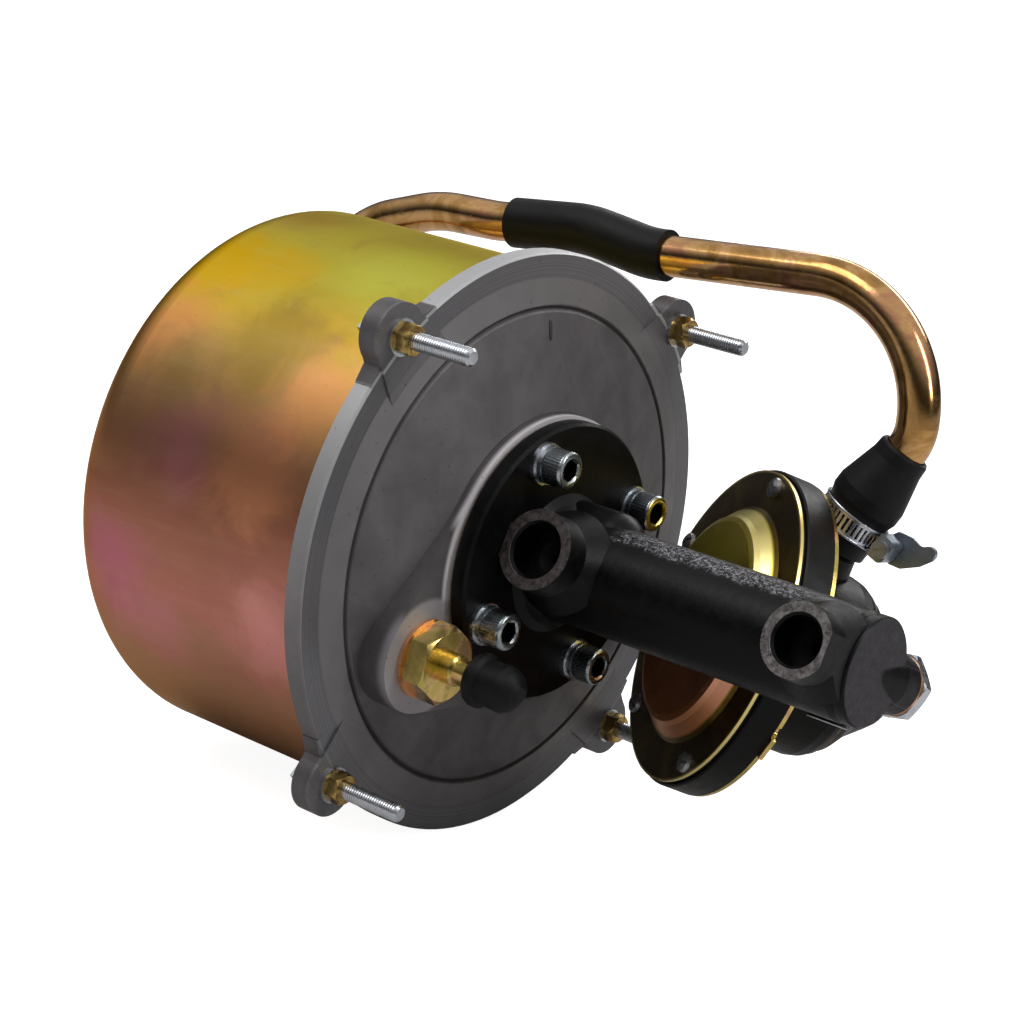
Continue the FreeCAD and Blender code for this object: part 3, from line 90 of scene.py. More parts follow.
# The finishes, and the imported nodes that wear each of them

Finish = enum.Enum("Finish", "SHELL COVER CASTING ENAMEL DOME YELLOW NUT PIPE BRIGHT DULL MARK SCREW "
                             "LEVER HOLLOW STEEL COPPER BRASS RUBBER FIBRE")
WEARS: Dict[Finish, Tuple[str, ...]] = {
    Finish.SHELL: ("rear_shell",),
    Finish.COVER: ("front_cover",),
    Finish.CASTING: ("hydraulic_cylinder",),
    Finish.ENAMEL: ("relay_housing", "valve_body"),
    Finish.DOME: ("dome_cover",),
    Finish.YELLOW: ("seat_plate", "vacuum_union"),
    Finish.NUT: ("tie_nuts",),
    Finish.PIPE: ("front_pipe", "rear_pipe"),
    Finish.BRIGHT: ("tie_studs", "tie_washers", "flange_screws", "flange_washers", "flange_spring_washers",
                    "hex_plug", "clamp_band", "rod_nut", "housing_screws", "body_screws"),
    Finish.DULL: ("cover_screws", "return_spring", "guide_clip", "relay_spring", "check_spring"),
    Finish.LEVER: ("clamp_housing", "clamp_screw"),
    # The port seats wear the near-black painted shade of HOLLOW.
    Finish.HOLLOW: ("port_seats",),
    Finish.STEEL: ("power_piston_plate", "power_piston_retainer", "push_rod", "piston_pin",
                   "hydraulic_piston", "check_ball", "check_retainer", "diaphragm_plates", "relay_piston"),
    Finish.COPPER: ("plug_washer", "union_washer"),
    Finish.BRASS: ("rod_guide", "check_disc", "check_seat"),
    Finish.RUBBER: ("dust_cap", "valve_hose", "pipe_sleeve", "shell_grommet", "shell_seal", "rod_seal",
                    "piston_cup", "relay_diaphragm", "relay_cup", "relay_poppet"),
    Finish.FIBRE: ("power_piston_cup", "cylinder_gasket", "body_gasket")}


class Nodes:
    """The few steps that build a node tree."""

    def __init__(self, tree: bpy.types.NodeTree) -> None:
        """Work on a tree."""
        self.tree = tree

    def node(self, kind: str, **settings) -> bpy.types.Node:
        """Add a node.

        Args:
            kind: the node's type.
            settings: attributes set on it.

        Returns:
            The node.
        """
        made = self.tree.nodes.new(kind)
        for key, value in settings.items():
            setattr(made, key, value)
        return made

    def feed(self, target: Socket, value) -> None:
        """Link a socket, or set a plain value on it."""
        if isinstance(value, bpy.types.NodeSocket):
            self.tree.links.new(value, target)
        elif isinstance(value, tuple) and len(value) == 3 and len(target.default_value) == 4:
            target.default_value = (*value, 1.0)
        else:
            target.default_value = value

    def feed_all(self, node: bpy.types.Node, *values) -> None:
        """Feed a node's first sockets in order."""
        for slot, value in zip(node.inputs, values):
            self.feed(slot, value)

    def maths(self, operation: str, a, b=0.0) -> Socket:
        """One sum on one or two numbers."""
        made = self.node("ShaderNodeMath", operation=operation)
        self.feed_all(made, a, b)
        return made.outputs[0]

    def plus(self, a, b) -> Socket:
        """Sum of two numbers."""
        return self.maths("ADD", a, b)

    def times(self, a, b) -> Socket:
        """Product of two numbers."""
        return self.maths("MULTIPLY", a, b)

    def ramp(self, value: Socket, stops: Stops) -> Socket:
        """Colour ramp through the given stops."""
        made = self.node("ShaderNodeValToRGB")
        self.feed(made.inputs[0], value)
        band = made.color_ramp
        while len(band.elements) < len(stops):
            band.elements.new(1.0)
        for element, (place, colour) in zip(band.elements, stops):
            element.position = place
            element.color = (*colour, 1.0)
        return made.outputs["Color"]


class Shade(Nodes):
    """One node material and the patterns that it is made of."""

    def __init__(self, name: str) -> None:
        """Start an empty material.

        Args:
            name: the material's name.
        """
        self.material = bpy.data.materials.new(name)
        self.material.use_nodes = True
        super().__init__(self.material.node_tree)
        self.tree.nodes.clear()
        self.shader = self.node("ShaderNodeBsdfPrincipled")
        self.output = self.node("ShaderNodeOutputMaterial")
        self.tree.links.new(self.shader.outputs["BSDF"], self.output.inputs["Surface"])
        self.place = self.node("ShaderNodeTexCoord").outputs["Object"]

    def axes(self) -> Tuple[Socket, Socket, Socket]:
        """The x, y and z of the point being shaded, in metres."""
        made = self.node("ShaderNodeSeparateXYZ")
        self.feed(made.inputs[0], self.place)
        return tuple(made.outputs)

    def off_axis(self) -> Socket:
        """Distance of the point from the booster's axis, in metres."""
        _, y, z = self.axes()
        return self.maths("SQRT", self.plus(self.times(y, y), self.times(z, z)))

    def dot(self, direction: Sequence[float], start: Sequence[float] = (0, 0, 0)) -> Socket:
        """Distance of the point along a direction from a start point, in metres."""
        shift = self.node("ShaderNodeVectorMath", operation="SUBTRACT")
        self.feed_all(shift, self.place, tuple(start))
        made = self.node("ShaderNodeVectorMath", operation="DOT_PRODUCT")
        self.feed_all(made, shift.outputs[0], tuple(direction))
        return made.outputs["Value"]

    def distance(self, point: Sequence[float]) -> Socket:
        """Distance of the point from a fixed point, in metres."""
        made = self.node("ShaderNodeVectorMath", operation="DISTANCE")
        self.feed_all(made, self.place, tuple(point))
        return made.outputs["Value"]

    def stretched(self, scale: Sequence[float]) -> Socket:
        """Object coordinates scaled unevenly, for drawn or brushed patterns."""
        made = self.node("ShaderNodeMapping")
        self.feed(made.inputs["Vector"], self.place)
        made.inputs["Scale"].default_value = tuple(scale)
        return made.outputs[0]

    def rings(self, radius: Socket) -> Socket:
        """Coordinates that only change outwards, for lathe marks."""
        made = self.node("ShaderNodeCombineXYZ")
        self.feed(made.inputs[0], radius)
        return made.outputs[0]

    def noise(self, scale: float, detail: float = 4.0, rough: float = 0.55, bend: float = 0.0,
              vector: Optional[Socket] = None) -> Socket:
        """Cloudy noise from 0 to 1.

        Args:
            scale: spots per metre.
            detail: number of finer layers.
            rough: weight of the finer layers.
            bend: how far the pattern is distorted.
            vector: coordinates, or None for object coordinates.

        Returns:
            The noise value.
        """
        made = self.node("ShaderNodeTexNoise")
        self.feed(made.inputs["Vector"], vector or self.place)
        values = {"Scale": scale, "Detail": detail, "Roughness": rough, "Distortion": bend}
        for key, value in values.items():
            made.inputs[key].default_value = value
        return made.outputs["Fac"]

    def cells(self, scale: float) -> Socket:
        """Distance to scattered points, for pits and grains."""
        made = self.node("ShaderNodeTexVoronoi")
        self.feed(made.inputs["Vector"], self.place)
        made.inputs["Scale"].default_value = scale
        return made.outputs["Distance"]

    def drift(self, value: Socket, width: float) -> Socket:
        """Turn noise from 0 to 1 into a drift about zero of the given full width."""
        return self.times(self.maths("SUBTRACT", value, 0.5), width)

    def span(self, value, low: float, high: float, to_low: float = 0.0, to_high: float = 1.0,
             smooth: bool = True) -> Socket:
        """Carry a value from one range to another, held at its ends."""
        made = self.node("ShaderNodeMapRange", clamp=True)
        made.interpolation_type = "SMOOTHSTEP" if smooth else "LINEAR"
        self.feed_all(made, value, low, high, to_low, to_high)
        return made.outputs[0]

    def past(self, value, limit: float, soft: float) -> Socket:
        """Rise from 0 to 1 from soft before a limit to soft after it, or fall where soft is negative."""
        return self.span(value, limit - soft, limit + soft)

    def mix(self, amount, under, over) -> Socket:
        """Lay one colour over another."""
        made = self.node("ShaderNodeMix", data_type="RGBA")
        self.feed(made.inputs["Factor"], amount)
        colours = [slot for slot in made.inputs if slot.type == "RGBA"]
        self.feed(colours[0], under)
        self.feed(colours[1], over)
        return next(slot for slot in made.outputs if slot.type == "RGBA")

    def lay(self, under, amount: Socket, weight: float, over) -> Socket:
        """Lay a colour over another where an amount is 1, by a weight."""
        return self.mix(self.times(amount, weight), under, over)

    def bump(self, height: Socket, depth: float, strength: float = 1.0,
             under: Optional[Socket] = None) -> Socket:
        """Relief of a height from 0 to 1 that stands depth metres tall."""
        made = self.node("ShaderNodeBump")
        made.inputs["Strength"].default_value = strength
        made.inputs["Distance"].default_value = depth
        self.feed(made.inputs["Height"], height)
        if under is not None:
            self.feed(made.inputs["Normal"], under)
        return made.outputs[0]

    def surface(self, colour, metal, rough, normal: Optional[Socket] = None, **fixed) -> None:
        """Feed the shader.

        Args:
            colour: base colour, plain or linked.
            metal: how metallic it is, plain or linked.
            rough: roughness, plain or linked.
            normal: relief, if any.
            fixed: other shader sockets by name, with _ for a space.
        """
        sockets = self.shader.inputs
        self.feed(sockets["Base Color"], colour)
        self.feed(sockets["Metallic"], metal)
        self.feed(sockets["Roughness"], rough)
        if normal is not None:
            self.feed(sockets["Normal"], normal)
        for key, value in fixed.items():
            sockets[key.replace("_", " ")].default_value = value


# Directions, angles in radians, and places in millimetres, from the part's source

AHEAD = Vector((1.0, 0.0, 0.0))
CAST_TURN = math.radians(-19.0)
OUTWARD = (0.0, -math.cos(CAST_TURN), -math.sin(CAST_TURN))
DOWNWARD = (0.0, math.sin(CAST_TURN), -math.cos(CAST_TURN))
TILT = math.radians(35.3)
VALVE_SPOT = (56.1, 56.6)
UNION_SPOT = (-56.0, -30.0)
SHELL_R = 98.0
BARREL_END = 151.6
PORT_SPOTS = (34.9, 139.7)
PORT_FACE = -34.0
PLUG_SEAT = (133.5, 14.0, -19.6)
BAND_TURN = math.radians(32.0)
FLOOR_GAP = 0.2


def casting(x: float, u: float, w: float) -> Vector:
    """Place in metres of a point given in millimetres along and across the turned casting."""
    c, s = math.cos(CAST_TURN), math.sin(CAST_TURN)
    return Vector((x, u * c - w * s, u * s + w * c)) * MM


def valve(s: float, side: float, up: float) -> Vector:
    """Place in metres of a point given in millimetres along and beside the relay valve's axis."""
    return casting(VALVE_SPOT[0] + s * math.sin(TILT) + side * math.cos(TILT),
                   VALVE_SPOT[1] + s * math.cos(TILT) - side * math.sin(TILT), up)


# Finishes. Their lengths are in metres, and noise takes spots per metre, layers, roughness and bend


@dataclass(frozen=True)
class YellowZinc:
    """Yellow passivated zinc, with cloudy rainbow shifts between gold, green and rose."""

    name: str = "yellow_zinc"
    stops: Stops = ((0.0, (0.42, 0.36, 0.10)), (0.38, (0.66, 0.50, 0.15)), (0.55, (0.80, 0.58, 0.20)),
                    (0.75, (0.66, 0.40, 0.22)), (1.0, (0.46, 0.46, 0.14)))
    cloud: float = 38.0
    roughness: float = 0.24
    stain: Colour = (0.16, 0.09, 0.03)

    def make(self) -> Material:
        """Build the material."""
        s = Shade(self.name)
        cloud = s.noise(self.cloud, 5.0, 0.6, 0.8)
        colour = s.ramp(s.span(cloud, 0.30, 0.72), self.stops)
        stained = s.span(s.noise(190.0, 6.0, 0.7), 0.52, 0.78)
        colour = s.lay(colour, stained, 0.40, self.stain)
        fine = s.noise(900.0, 3.0)
        rough = s.plus(self.roughness, s.times(stained, 0.20))
        s.surface(colour, 1.0, s.plus(rough, s.times(fine, 0.07)), s.bump(fine, 0.00003, 0.5))
        return s.material


@dataclass(frozen=True)
class DomeZinc:
    """Pressed cover of the relay valve: olive brown flange, green gold to rose dome, a painted highlight
    round the bend from dome to flange, and a pale rim.
    """

    name: str = "dome_zinc"
    flange: Tuple[Colour, Colour] = ((0.070, 0.046, 0.008), (0.170, 0.115, 0.020))
    dome: Stops = ((0.10, (0.62, 0.24, 0.06)), (0.30, (0.86, 0.40, 0.24)), (0.45, (0.66, 0.44, 0.06)),
                   (0.62, (0.62, 0.56, 0.04)), (0.85, (0.80, 0.60, 0.14)))
    # Painted highlight on the bend between dome and flange, palest at mid height.
    bend_highlight: Stops = ((0.15, (0.62, 0.26, 0.12)), (0.36, (0.80, 0.42, 0.30)), (0.50, (0.86, 0.66, 0.36)),
                    (0.66, (0.90, 0.76, 0.36)), (0.90, (0.56, 0.50, 0.10)))
    rim: Colour = (0.84, 0.68, 0.26)
    bend_radii: Pair = (0.0380, 0.0426)
    flange_radius: float = 0.0429
    rim_radius: float = 0.0576
    heights: Pair = (-0.055, 0.045)

    def make(self) -> Material:
        """Build the material: zones by the distance from the valve's axis, hue by height."""
        s = Shade(self.name)
        base = valve(0.0, 0.0, 0.0)
        ahead = (valve(1.0, 0.0, 0.0) - base).normalized()
        reach, far = s.dot(ahead, base), s.distance(base)
        radius = s.maths("SQRT", s.maths("SUBTRACT", s.times(far, far), s.times(reach, reach)))
        cloud = s.noise(34.0, 5.0, 0.6, 0.8)
        height = s.span(s.axes()[2], *self.heights, smooth=False)
        colour = s.ramp(s.plus(height, s.drift(cloud, 0.30)), self.dome)
        inner, outer = self.bend_radii
        # The bend's band gets its painted highlight here.
        bend = s.times(s.past(radius, inner, 0.0008), s.past(radius, outer, -0.0006))
        colour = s.lay(colour, bend, 0.85, s.ramp(height, self.bend_highlight))
        flange = s.mix(s.span(cloud, 0.35, 0.70), *self.flange)
        colour = s.mix(s.past(radius, self.flange_radius, 0.0005), colour, flange)
        colour = s.mix(s.past(radius, self.rim_radius, 0.0004), colour, self.rim)
        fine = s.noise(900.0, 3.0)
        rough = s.plus(0.26, s.times(s.noise(190.0, 6.0, 0.7), 0.14))
        s.surface(colour, 1.0, rough, s.bump(fine, 0.00003, 0.5))
        return s.material


@dataclass(frozen=True)
class Patch:
    """A soft cloud of another colour on the drawn shell.

    X is in millimetres, the turn in degrees from the top towards the front, the size in metres.
    """

    x: float
    turn: float
    size: float
    colour: Colour
    weight: float

    def place(self) -> Place:
        """Its middle, in metres."""
        a = math.radians(self.turn)
        return self.x * MM, -SHELL_R * MM * math.sin(a), SHELL_R * MM * math.cos(a)


@dataclass(frozen=True)
class ShellZinc:
    """Drawn shell: passivation hues from green gold on top through tan to rose and brown below, with painted
    light in the same ramp.

    The ramp runs once round the shell: 0 is the bottom, 0.5 the top, and the front is above 0.5.
    """

    name: str = "shell_zinc"
    # Besides the passivation's hues these stops hold painted light: a painted highlight over the top and
    # upper front, a dark painted reflection of the room near 0.735, a lighter painted reflection of the
    # floor near 0.80 and painted shade towards the bottom.
    stops: Stops = (
        (0.00, (0.40, 0.26, 0.14)), (0.15, (0.48, 0.32, 0.14)), (0.30, (0.58, 0.40, 0.15)),
        (0.46, (0.62, 0.54, 0.12)), (0.53, (0.62, 0.56, 0.10)), (0.575, (0.60, 0.53, 0.07)),
        (0.62, (0.66, 0.43, 0.05)), (0.655, (0.60, 0.35, 0.11)), (0.69, (0.60, 0.30, 0.14)),
        (0.735, (0.34, 0.135, 0.080)), (0.80, (0.56, 0.220, 0.175)), (0.855, (0.50, 0.270, 0.18)),
        (0.92, (0.44, 0.26, 0.17)), (1.00, (0.40, 0.25, 0.15)))
    patches: Tuple[Patch, ...] = (
        Patch(-106, 36, 0.034, (0.78, 0.46, 0.01), 0.85),
        Patch(-102, 54, 0.026, (0.80, 0.34, 0.12), 0.75),
        Patch(-76, 34, 0.020, (0.78, 0.46, 0.02), 0.65),
        Patch(-34, 22, 0.032, (0.68, 0.70, 0.11), 0.80),
        Patch(-52, 50, 0.032, (0.36, 0.24, 0.045), 0.75),
        Patch(-24, 60, 0.024, (0.92, 0.42, 0.15), 0.85),
        Patch(-72, 76, 0.024, (0.56, 0.20, 0.22), 0.70),
        Patch(-84, 62, 0.022, (0.36, 0.23, 0.075), 0.70),
        Patch(-36, 77, 0.028, (0.80, 0.32, 0.16), 0.75),
        Patch(-96, 104, 0.026, (0.56, 0.17, 0.24), 0.75),
        Patch(-80, 117, 0.024, (0.66, 0.26, 0.28), 0.65),
        Patch(-22, 108, 0.028, (0.80, 0.33, 0.31), 0.70),
        Patch(-98, 10, 0.022, (0.52, 0.34, 0.09), 0.60))
    lip: Colour = (0.80, 0.60, 0.16)
    lip_x: float = -0.0105
    cloud: Colour = (0.30, 0.17, 0.11)
    drawn: Colour = (0.80, 0.66, 0.36)
    scuff: Colour = (0.72, 0.62, 0.50)
    dot: Colour = (0.16, 0.10, 0.06)
    gloss: Colour = (0.84, 0.60, 0.36)

    def make(self) -> Material:
        """Build the material: colour follows the angle about the axis, bent by slow noise."""
        s = Shade(self.name)
        x, y, z = s.axes()
        turn = s.maths("ARCTAN2", s.times(y, -1.0), z)
        around = s.plus(s.maths("DIVIDE", turn, FULL_TURN), 0.5)
        slow = s.noise(11.0, 4.0, 0.5, 0.8)
        # Hue and painted light both follow the turn about the axis here.
        colour = s.ramp(s.plus(around, s.drift(slow, 0.11)), self.stops)
        ragged = s.drift(s.noise(34.0, 5.0, 0.6, 1.0), 0.034)
        for patch in self.patches:
            reach = s.plus(s.distance(patch.place()), ragged)
            amount = s.span(reach, patch.size, 0.2 * patch.size, 0.0, patch.weight)
            colour = s.mix(amount, colour, patch.colour)
        colour = s.lay(colour, s.past(x, self.lip_x, 0.0010), 0.8, self.lip)
        cloud = s.noise(46.0, 6.0, 0.62, 0.5)
        colour = s.mix(s.span(cloud, 0.52, 0.80, 0.0, 0.38), colour, self.cloud)
        drawn = s.noise(75.0, 4.0, 0.6, 0.2, s.stretched((0.3, 2.6, 2.6)))
        colour = s.mix(s.span(drawn, 0.35, 0.85, 0.0, 0.07), colour, self.drawn)
        scuff = s.span(s.noise(420.0, 5.0, 0.75, 0.5, s.stretched((0.6, 1.0, 1.0))), 0.67, 0.80)
        colour = s.lay(colour, scuff, 0.35, self.scuff)
        colour = s.lay(colour, s.span(s.cells(260.0), 0.10, 0.03), 0.35, self.dot)
        rough = s.plus(s.span(slow, 0.3, 0.7, 0.33, 0.41), s.times(scuff, 0.15))
        fine = s.noise(700.0, 4.0, 0.6, 0.0, s.stretched((0.35, 1.0, 1.0)))
        waves = s.noise(24.0, 2.0, 0.5, 0.0, s.stretched((0.6, 1.0, 1.0)))
        relief = s.bump(fine, 0.00005, 0.30, s.bump(waves, 0.0012, 0.22))
        s.surface(colour, 0.96, rough, relief, Specular_Tint=(*self.gloss, 1.0))
        return s.material


@dataclass(frozen=True)
class CastAluminium:
    """Cast cover: dark warm grey with grain and pits, turned brighter on its outer ring.

    Radii and places are in metres. Inwards from the rim come the ring, a slope and a dark groove; the rim
    carries a painted highlight, the groove painted shade and the pad a painted highlight.
    """

    name: str = "cast_aluminium"
    dark: Colour = (0.098, 0.090, 0.094)
    light: Colour = (0.150, 0.140, 0.144)
    swirl: Colour = (0.19, 0.18, 0.185)
    fleck: Colour = (0.36, 0.35, 0.35)
    ring: Tuple[Colour, Colour] = ((0.120, 0.118, 0.124), (0.215, 0.213, 0.224))
    slope: Colour = (0.27, 0.26, 0.262)
    # Painted shade in the groove.
    groove: Colour = (0.020, 0.018, 0.017)
    # Painted highlight on the pad's side wall, near white all round.
    pad_highlight: Colour = (0.95, 0.91, 0.93)
    # Painted highlight on the outer rim; the mask below makes it lighter towards the top.
    rim: Colour = (0.58, 0.58, 0.59)
    boss: Colour = (0.46, 0.44, 0.47)
    speck: Colour = (0.04, 0.036, 0.034)
    rim_radii: Pair = (0.1035, 0.1048)
    ring_radius: float = 0.0959
    slope_radii: Pair = (0.0866, 0.0957)
    groove_radius: float = 0.0854
    pad_radius: float = 0.05235
    boss_place: Place = (0.015, UNION_SPOT[0] * MM, UNION_SPOT[1] * MM)

    def make(self) -> Material:
        """Build the material from the plain casting up to its machined and rubbed places."""
        s = Shade(self.name)
        x, _, z = s.axes()
        radius = s.off_axis()
        mottle = s.noise(60.0, 5.0, 0.55, 0.4)
        grain = s.noise(1700.0, 3.0, 0.6)
        colour = s.mix(s.span(mottle, 0.25, 0.75), self.dark, self.light)
        swirl = s.noise(14.0, 4.0, 0.55, 1.2)
        colour = s.mix(s.span(swirl, 0.45, 0.75, 0.0, 0.35), colour, self.swirl)
        colour = s.lay(colour, s.span(s.noise(900.0, 4.0, 0.7), 0.66, 0.80), 0.20, self.fleck)
        edge = s.plus(radius, s.drift(mottle, 0.0012))
        front = s.span(x, -0.0005, 0.0)
        ring = s.times(s.past(edge, self.ring_radius, 0.0003), front)
        turned = s.noise(2600.0, 2.0, 0.5, 0.0, s.rings(radius))
        colour = s.lay(colour, ring, 0.85, s.mix(s.span(turned, 0.35, 0.65), *self.ring))
        inner, outer = self.slope_radii
        slope = s.times(s.past(edge, inner, 0.0004), s.past(edge, outer, -0.0003))
        colour = s.lay(colour, slope, 0.45, self.slope)
        # Painted highlight: near white laid on the pad's band.
        pad_highlight = s.times(s.past(radius, self.pad_radius, -0.00115), s.span(x, 0.0120, 0.0145))
        colour = s.lay(colour, pad_highlight, 0.95, self.pad_highlight)
        # Painted shade: near black laid along the groove.
        off_groove = s.maths("ABSOLUTE", s.maths("SUBTRACT", radius, self.groove_radius))
        groove = s.times(s.span(off_groove, 0.0012, 0.0003), front)
        colour = s.lay(colour, groove, 0.80, self.groove)
        # Painted highlight on the rim, from weight 0.10 at the bottom to 0.75 at the top.
        inner, outer = self.rim_radii
        rim = s.times(s.past(radius, inner, 0.0003), s.span(z, -0.045, 0.060, 0.10, 0.75))
        colour = s.mix(s.times(rim, s.past(radius, outer, -0.0002)), colour, self.rim)
        near_boss = s.span(s.distance(self.boss_place), 0.0215, 0.0190)
        colour = s.lay(colour, s.times(near_boss, s.span(x, 0.0100, 0.0146)), 0.75, self.boss)
        colour = s.lay(colour, s.span(s.cells(230.0), 0.12, 0.05), 0.45, self.speck)
        rough = s.maths("SUBTRACT", s.span(mottle, 0.3, 0.7, 0.56, 0.50), s.times(ring, 0.10))
        pits = s.span(s.cells(900.0), 0.0, 0.32)
        relief = s.bump(grain, 0.00010, 0.36, s.bump(mottle, 0.0003, 0.14))
        s.surface(colour, 0.60, rough, s.bump(pits, 0.00008, 0.22, relief))
        return s.material


@dataclass(frozen=True)
class BareFace:
    """A machined face of a casting: a point on it, the way it looks, and its reach in metres."""

    point: Place
    facing: Place
    reach: float
    dark: Colour = (0.07, 0.062, 0.060)
    light: Colour = (0.30, 0.28, 0.275)
    metal: float = 0.55


@dataclass(frozen=True)
class RoughBand:
    """A coarse strip of a cast barrel with a painted highlight: the way it looks from the axis, and its span
    of X.
    """

    facing: Place
    first: float
    last: float
    # Colour of the strip's painted highlight.
    glint_colour: Colour = (0.30, 0.29, 0.32)


@dataclass(frozen=True)
class BlackEnamel:
    """Black enamel over a rough casting, bare and dull bright on its machined faces."""

    name: str = "black_enamel"
    base: Colour = (0.0012, 0.0011, 0.0013)
    thin: Colour = (0.0036, 0.0033, 0.0038)
    worn: Colour = (0.014, 0.013, 0.015)
    lustre: float = 0.16
    bare_faces: Tuple[BareFace, ...] = ()
    bands: Tuple[RoughBand, ...] = ()

    def make(self) -> Material:
        """Build the material."""
        s = Shade(self.name)
        cast = s.noise(240.0, 6.0, 0.66, 0.2)
        fine = s.noise(1400.0, 3.0, 0.6)
        colour = s.mix(s.span(cast, 0.35, 0.75), self.base, self.thin)
        colour = s.lay(colour, s.span(s.noise(800.0, 4.0, 0.75), 0.66, 0.76), 0.35, self.worn)
        rough = s.span(cast, 0.3, 0.7, 0.34, 0.46)
        relief = s.bump(fine, 0.00009, 0.30, s.bump(cast, 0.00040, 0.34))
        x, _, _ = s.axes()
        for band in self.bands:
            outward = s.maths("DIVIDE", s.dot(band.facing), s.off_axis())
            coarse = s.noise(760.0, 5.0, 0.75, 0.6)
            facing = s.span(s.plus(outward, s.drift(s.noise(130.0, 4.0, 0.6), 0.10)), 0.945, 0.985)
            starts = s.span(x, band.first, band.first + 0.010)
            ends = s.span(x, band.last, band.last - 0.016)
            amount = s.times(facing, s.times(starts, ends))
            # Painted highlight: pale sparkle laid on the coarse strip on the side that faces the light; its
            # relief is real.
            spark = s.times(s.span(coarse, 0.48, 0.60), amount)
            colour = s.lay(colour, spark, 0.90, band.glint_colour)
            relief = s.bump(s.times(coarse, amount), 0.0009, 0.75, relief)
        metal = 0.0
        for face in self.bare_faces:
            level = s.span(s.maths("ABSOLUTE", s.dot(face.facing, face.point)), 0.00030, 0.00012)
            near = s.times(level, s.span(s.distance(face.point), face.reach + 0.0002, face.reach))
            bare = s.mix(s.span(s.noise(420.0, 6.0, 0.75, 0.4), 0.34, 0.66), face.dark, face.light)
            colour = s.mix(near, colour, bare)
            metal = s.maths("MAXIMUM", metal, s.times(near, face.metal))
        s.surface(colour, metal, rough, relief, Specular_IOR_Level=self.lustre)
        return s.material


@dataclass(frozen=True)
class BrightMetal:
    """Plated or machined metal with faint wear."""

    name: str = "bright_zinc"
    base: Colour = (0.58, 0.61, 0.65)
    dull: Colour = (0.24, 0.245, 0.25)
    roughness: float = 0.24
    wear: float = 0.35

    def make(self) -> Material:
        """Build the material."""
        s = Shade(self.name)
        spots = s.noise(330.0, 6.0, 0.7)
        colour = s.lay(self.base, s.span(spots, 0.45, 0.75), self.wear, self.dull)
        fine = s.noise(1600.0, 3.0)
        rough = s.plus(self.roughness, s.times(s.span(spots, 0.4, 0.8), 0.22))
        s.surface(colour, 1.0, rough, s.bump(fine, 0.00003, 0.5))
        return s.material


@dataclass(frozen=True)
class Rubber:
    """Black rubber with a soft sheen, fine grain and a little dust."""

    name: str = "rubber"
    base: Colour = (0.0022, 0.0021, 0.0026)
    dust: Colour = (0.012, 0.0115, 0.012)
    roughness: float = 0.45
    lustre: float = 0.22

    def make(self) -> Material:
        """Build the material."""
        s = Shade(self.name)
        cloud = s.noise(70.0, 5.0, 0.6)
        colour = s.mix(s.span(cloud, 0.5, 0.85, 0.0, 0.55), self.base, self.dust)
        fine = s.noise(1300.0, 4.0, 0.6)
        rough = s.span(cloud, 0.3, 0.7, self.roughness, self.roughness + 0.14)
        s.surface(colour, 0.0, rough, s.bump(fine, 0.00008, 0.3), Specular_IOR_Level=self.lustre)
        return s.material


@dataclass(frozen=True)
class Fibre:
    """Oiled fibre or leather."""

    name: str = "fibre"
    base: Colour = (0.10, 0.06, 0.03)
    light: Colour = (0.22, 0.14, 0.08)

    def make(self) -> Material:
        """Build the material."""
        s = Shade(self.name)
        grain = s.noise(500.0, 6.0, 0.7)
        colour = s.mix(s.span(grain, 0.35, 0.7), self.base, self.light)
        s.surface(colour, 0.0, 0.62, s.bump(grain, 0.0002, 0.4))
        return s.material


# Shared surface tools


def turn_steps(columns: int) -> np.ndarray:
    """Evenly spaced angles of one turn, in radians."""
    return np.linspace(0.0, FULL_TURN, columns, endpoint=False)


def grid_faces(rows: int, columns: int, ring: bool = False) -> np.ndarray:
    """Quads of a grid of points whose columns close on themselves.

    Args:
        rows: points along the profile.
        columns: points around.
        ring: whether the last row joins the first.

    Returns:
        An array of four indices a face, facing outwards for a profile that runs along the axis
        while the columns turn by the right-hand rule.
    """
    i, j = np.meshgrid(np.arange(rows if ring else rows - 1), np.arange(columns), indexing="ij")
    k = (j + 1) % columns
    n = (i + 1) % rows
    quads = np.stack([i * columns + j, i * columns + k, n * columns + k, n * columns + j], -1)
    return quads.reshape(-1, 4)


def rod_faces(rows: int, columns: int) -> List:
    """Faces of a grid of points with one flat face at each end."""
    first_end = list(range(columns))[::-1]
    last_end = list(range((rows - 1) * columns, rows * columns))
    return grid_faces(rows, columns).tolist() + [first_end, last_end]


@dataclass(frozen=True)
class Axis:
    """A straight axis and two directions square to it; turning from side to up is right-handed."""

    base: Vector
    along: Vector
    side: Vector

    def place(self, reach: np.ndarray, radius: np.ndarray, angle: np.ndarray) -> np.ndarray:
        """Points in metres: base + along * reach + radius * (side * cos angle + up * sin angle)."""
        up = np.array(self.along.cross(self.side))
        out = np.cos(angle)[..., None] * np.array(self.side) + np.sin(angle)[..., None] * up
        return np.array(self.base) + reach[..., None] * np.array(self.along) + radius[..., None] * out


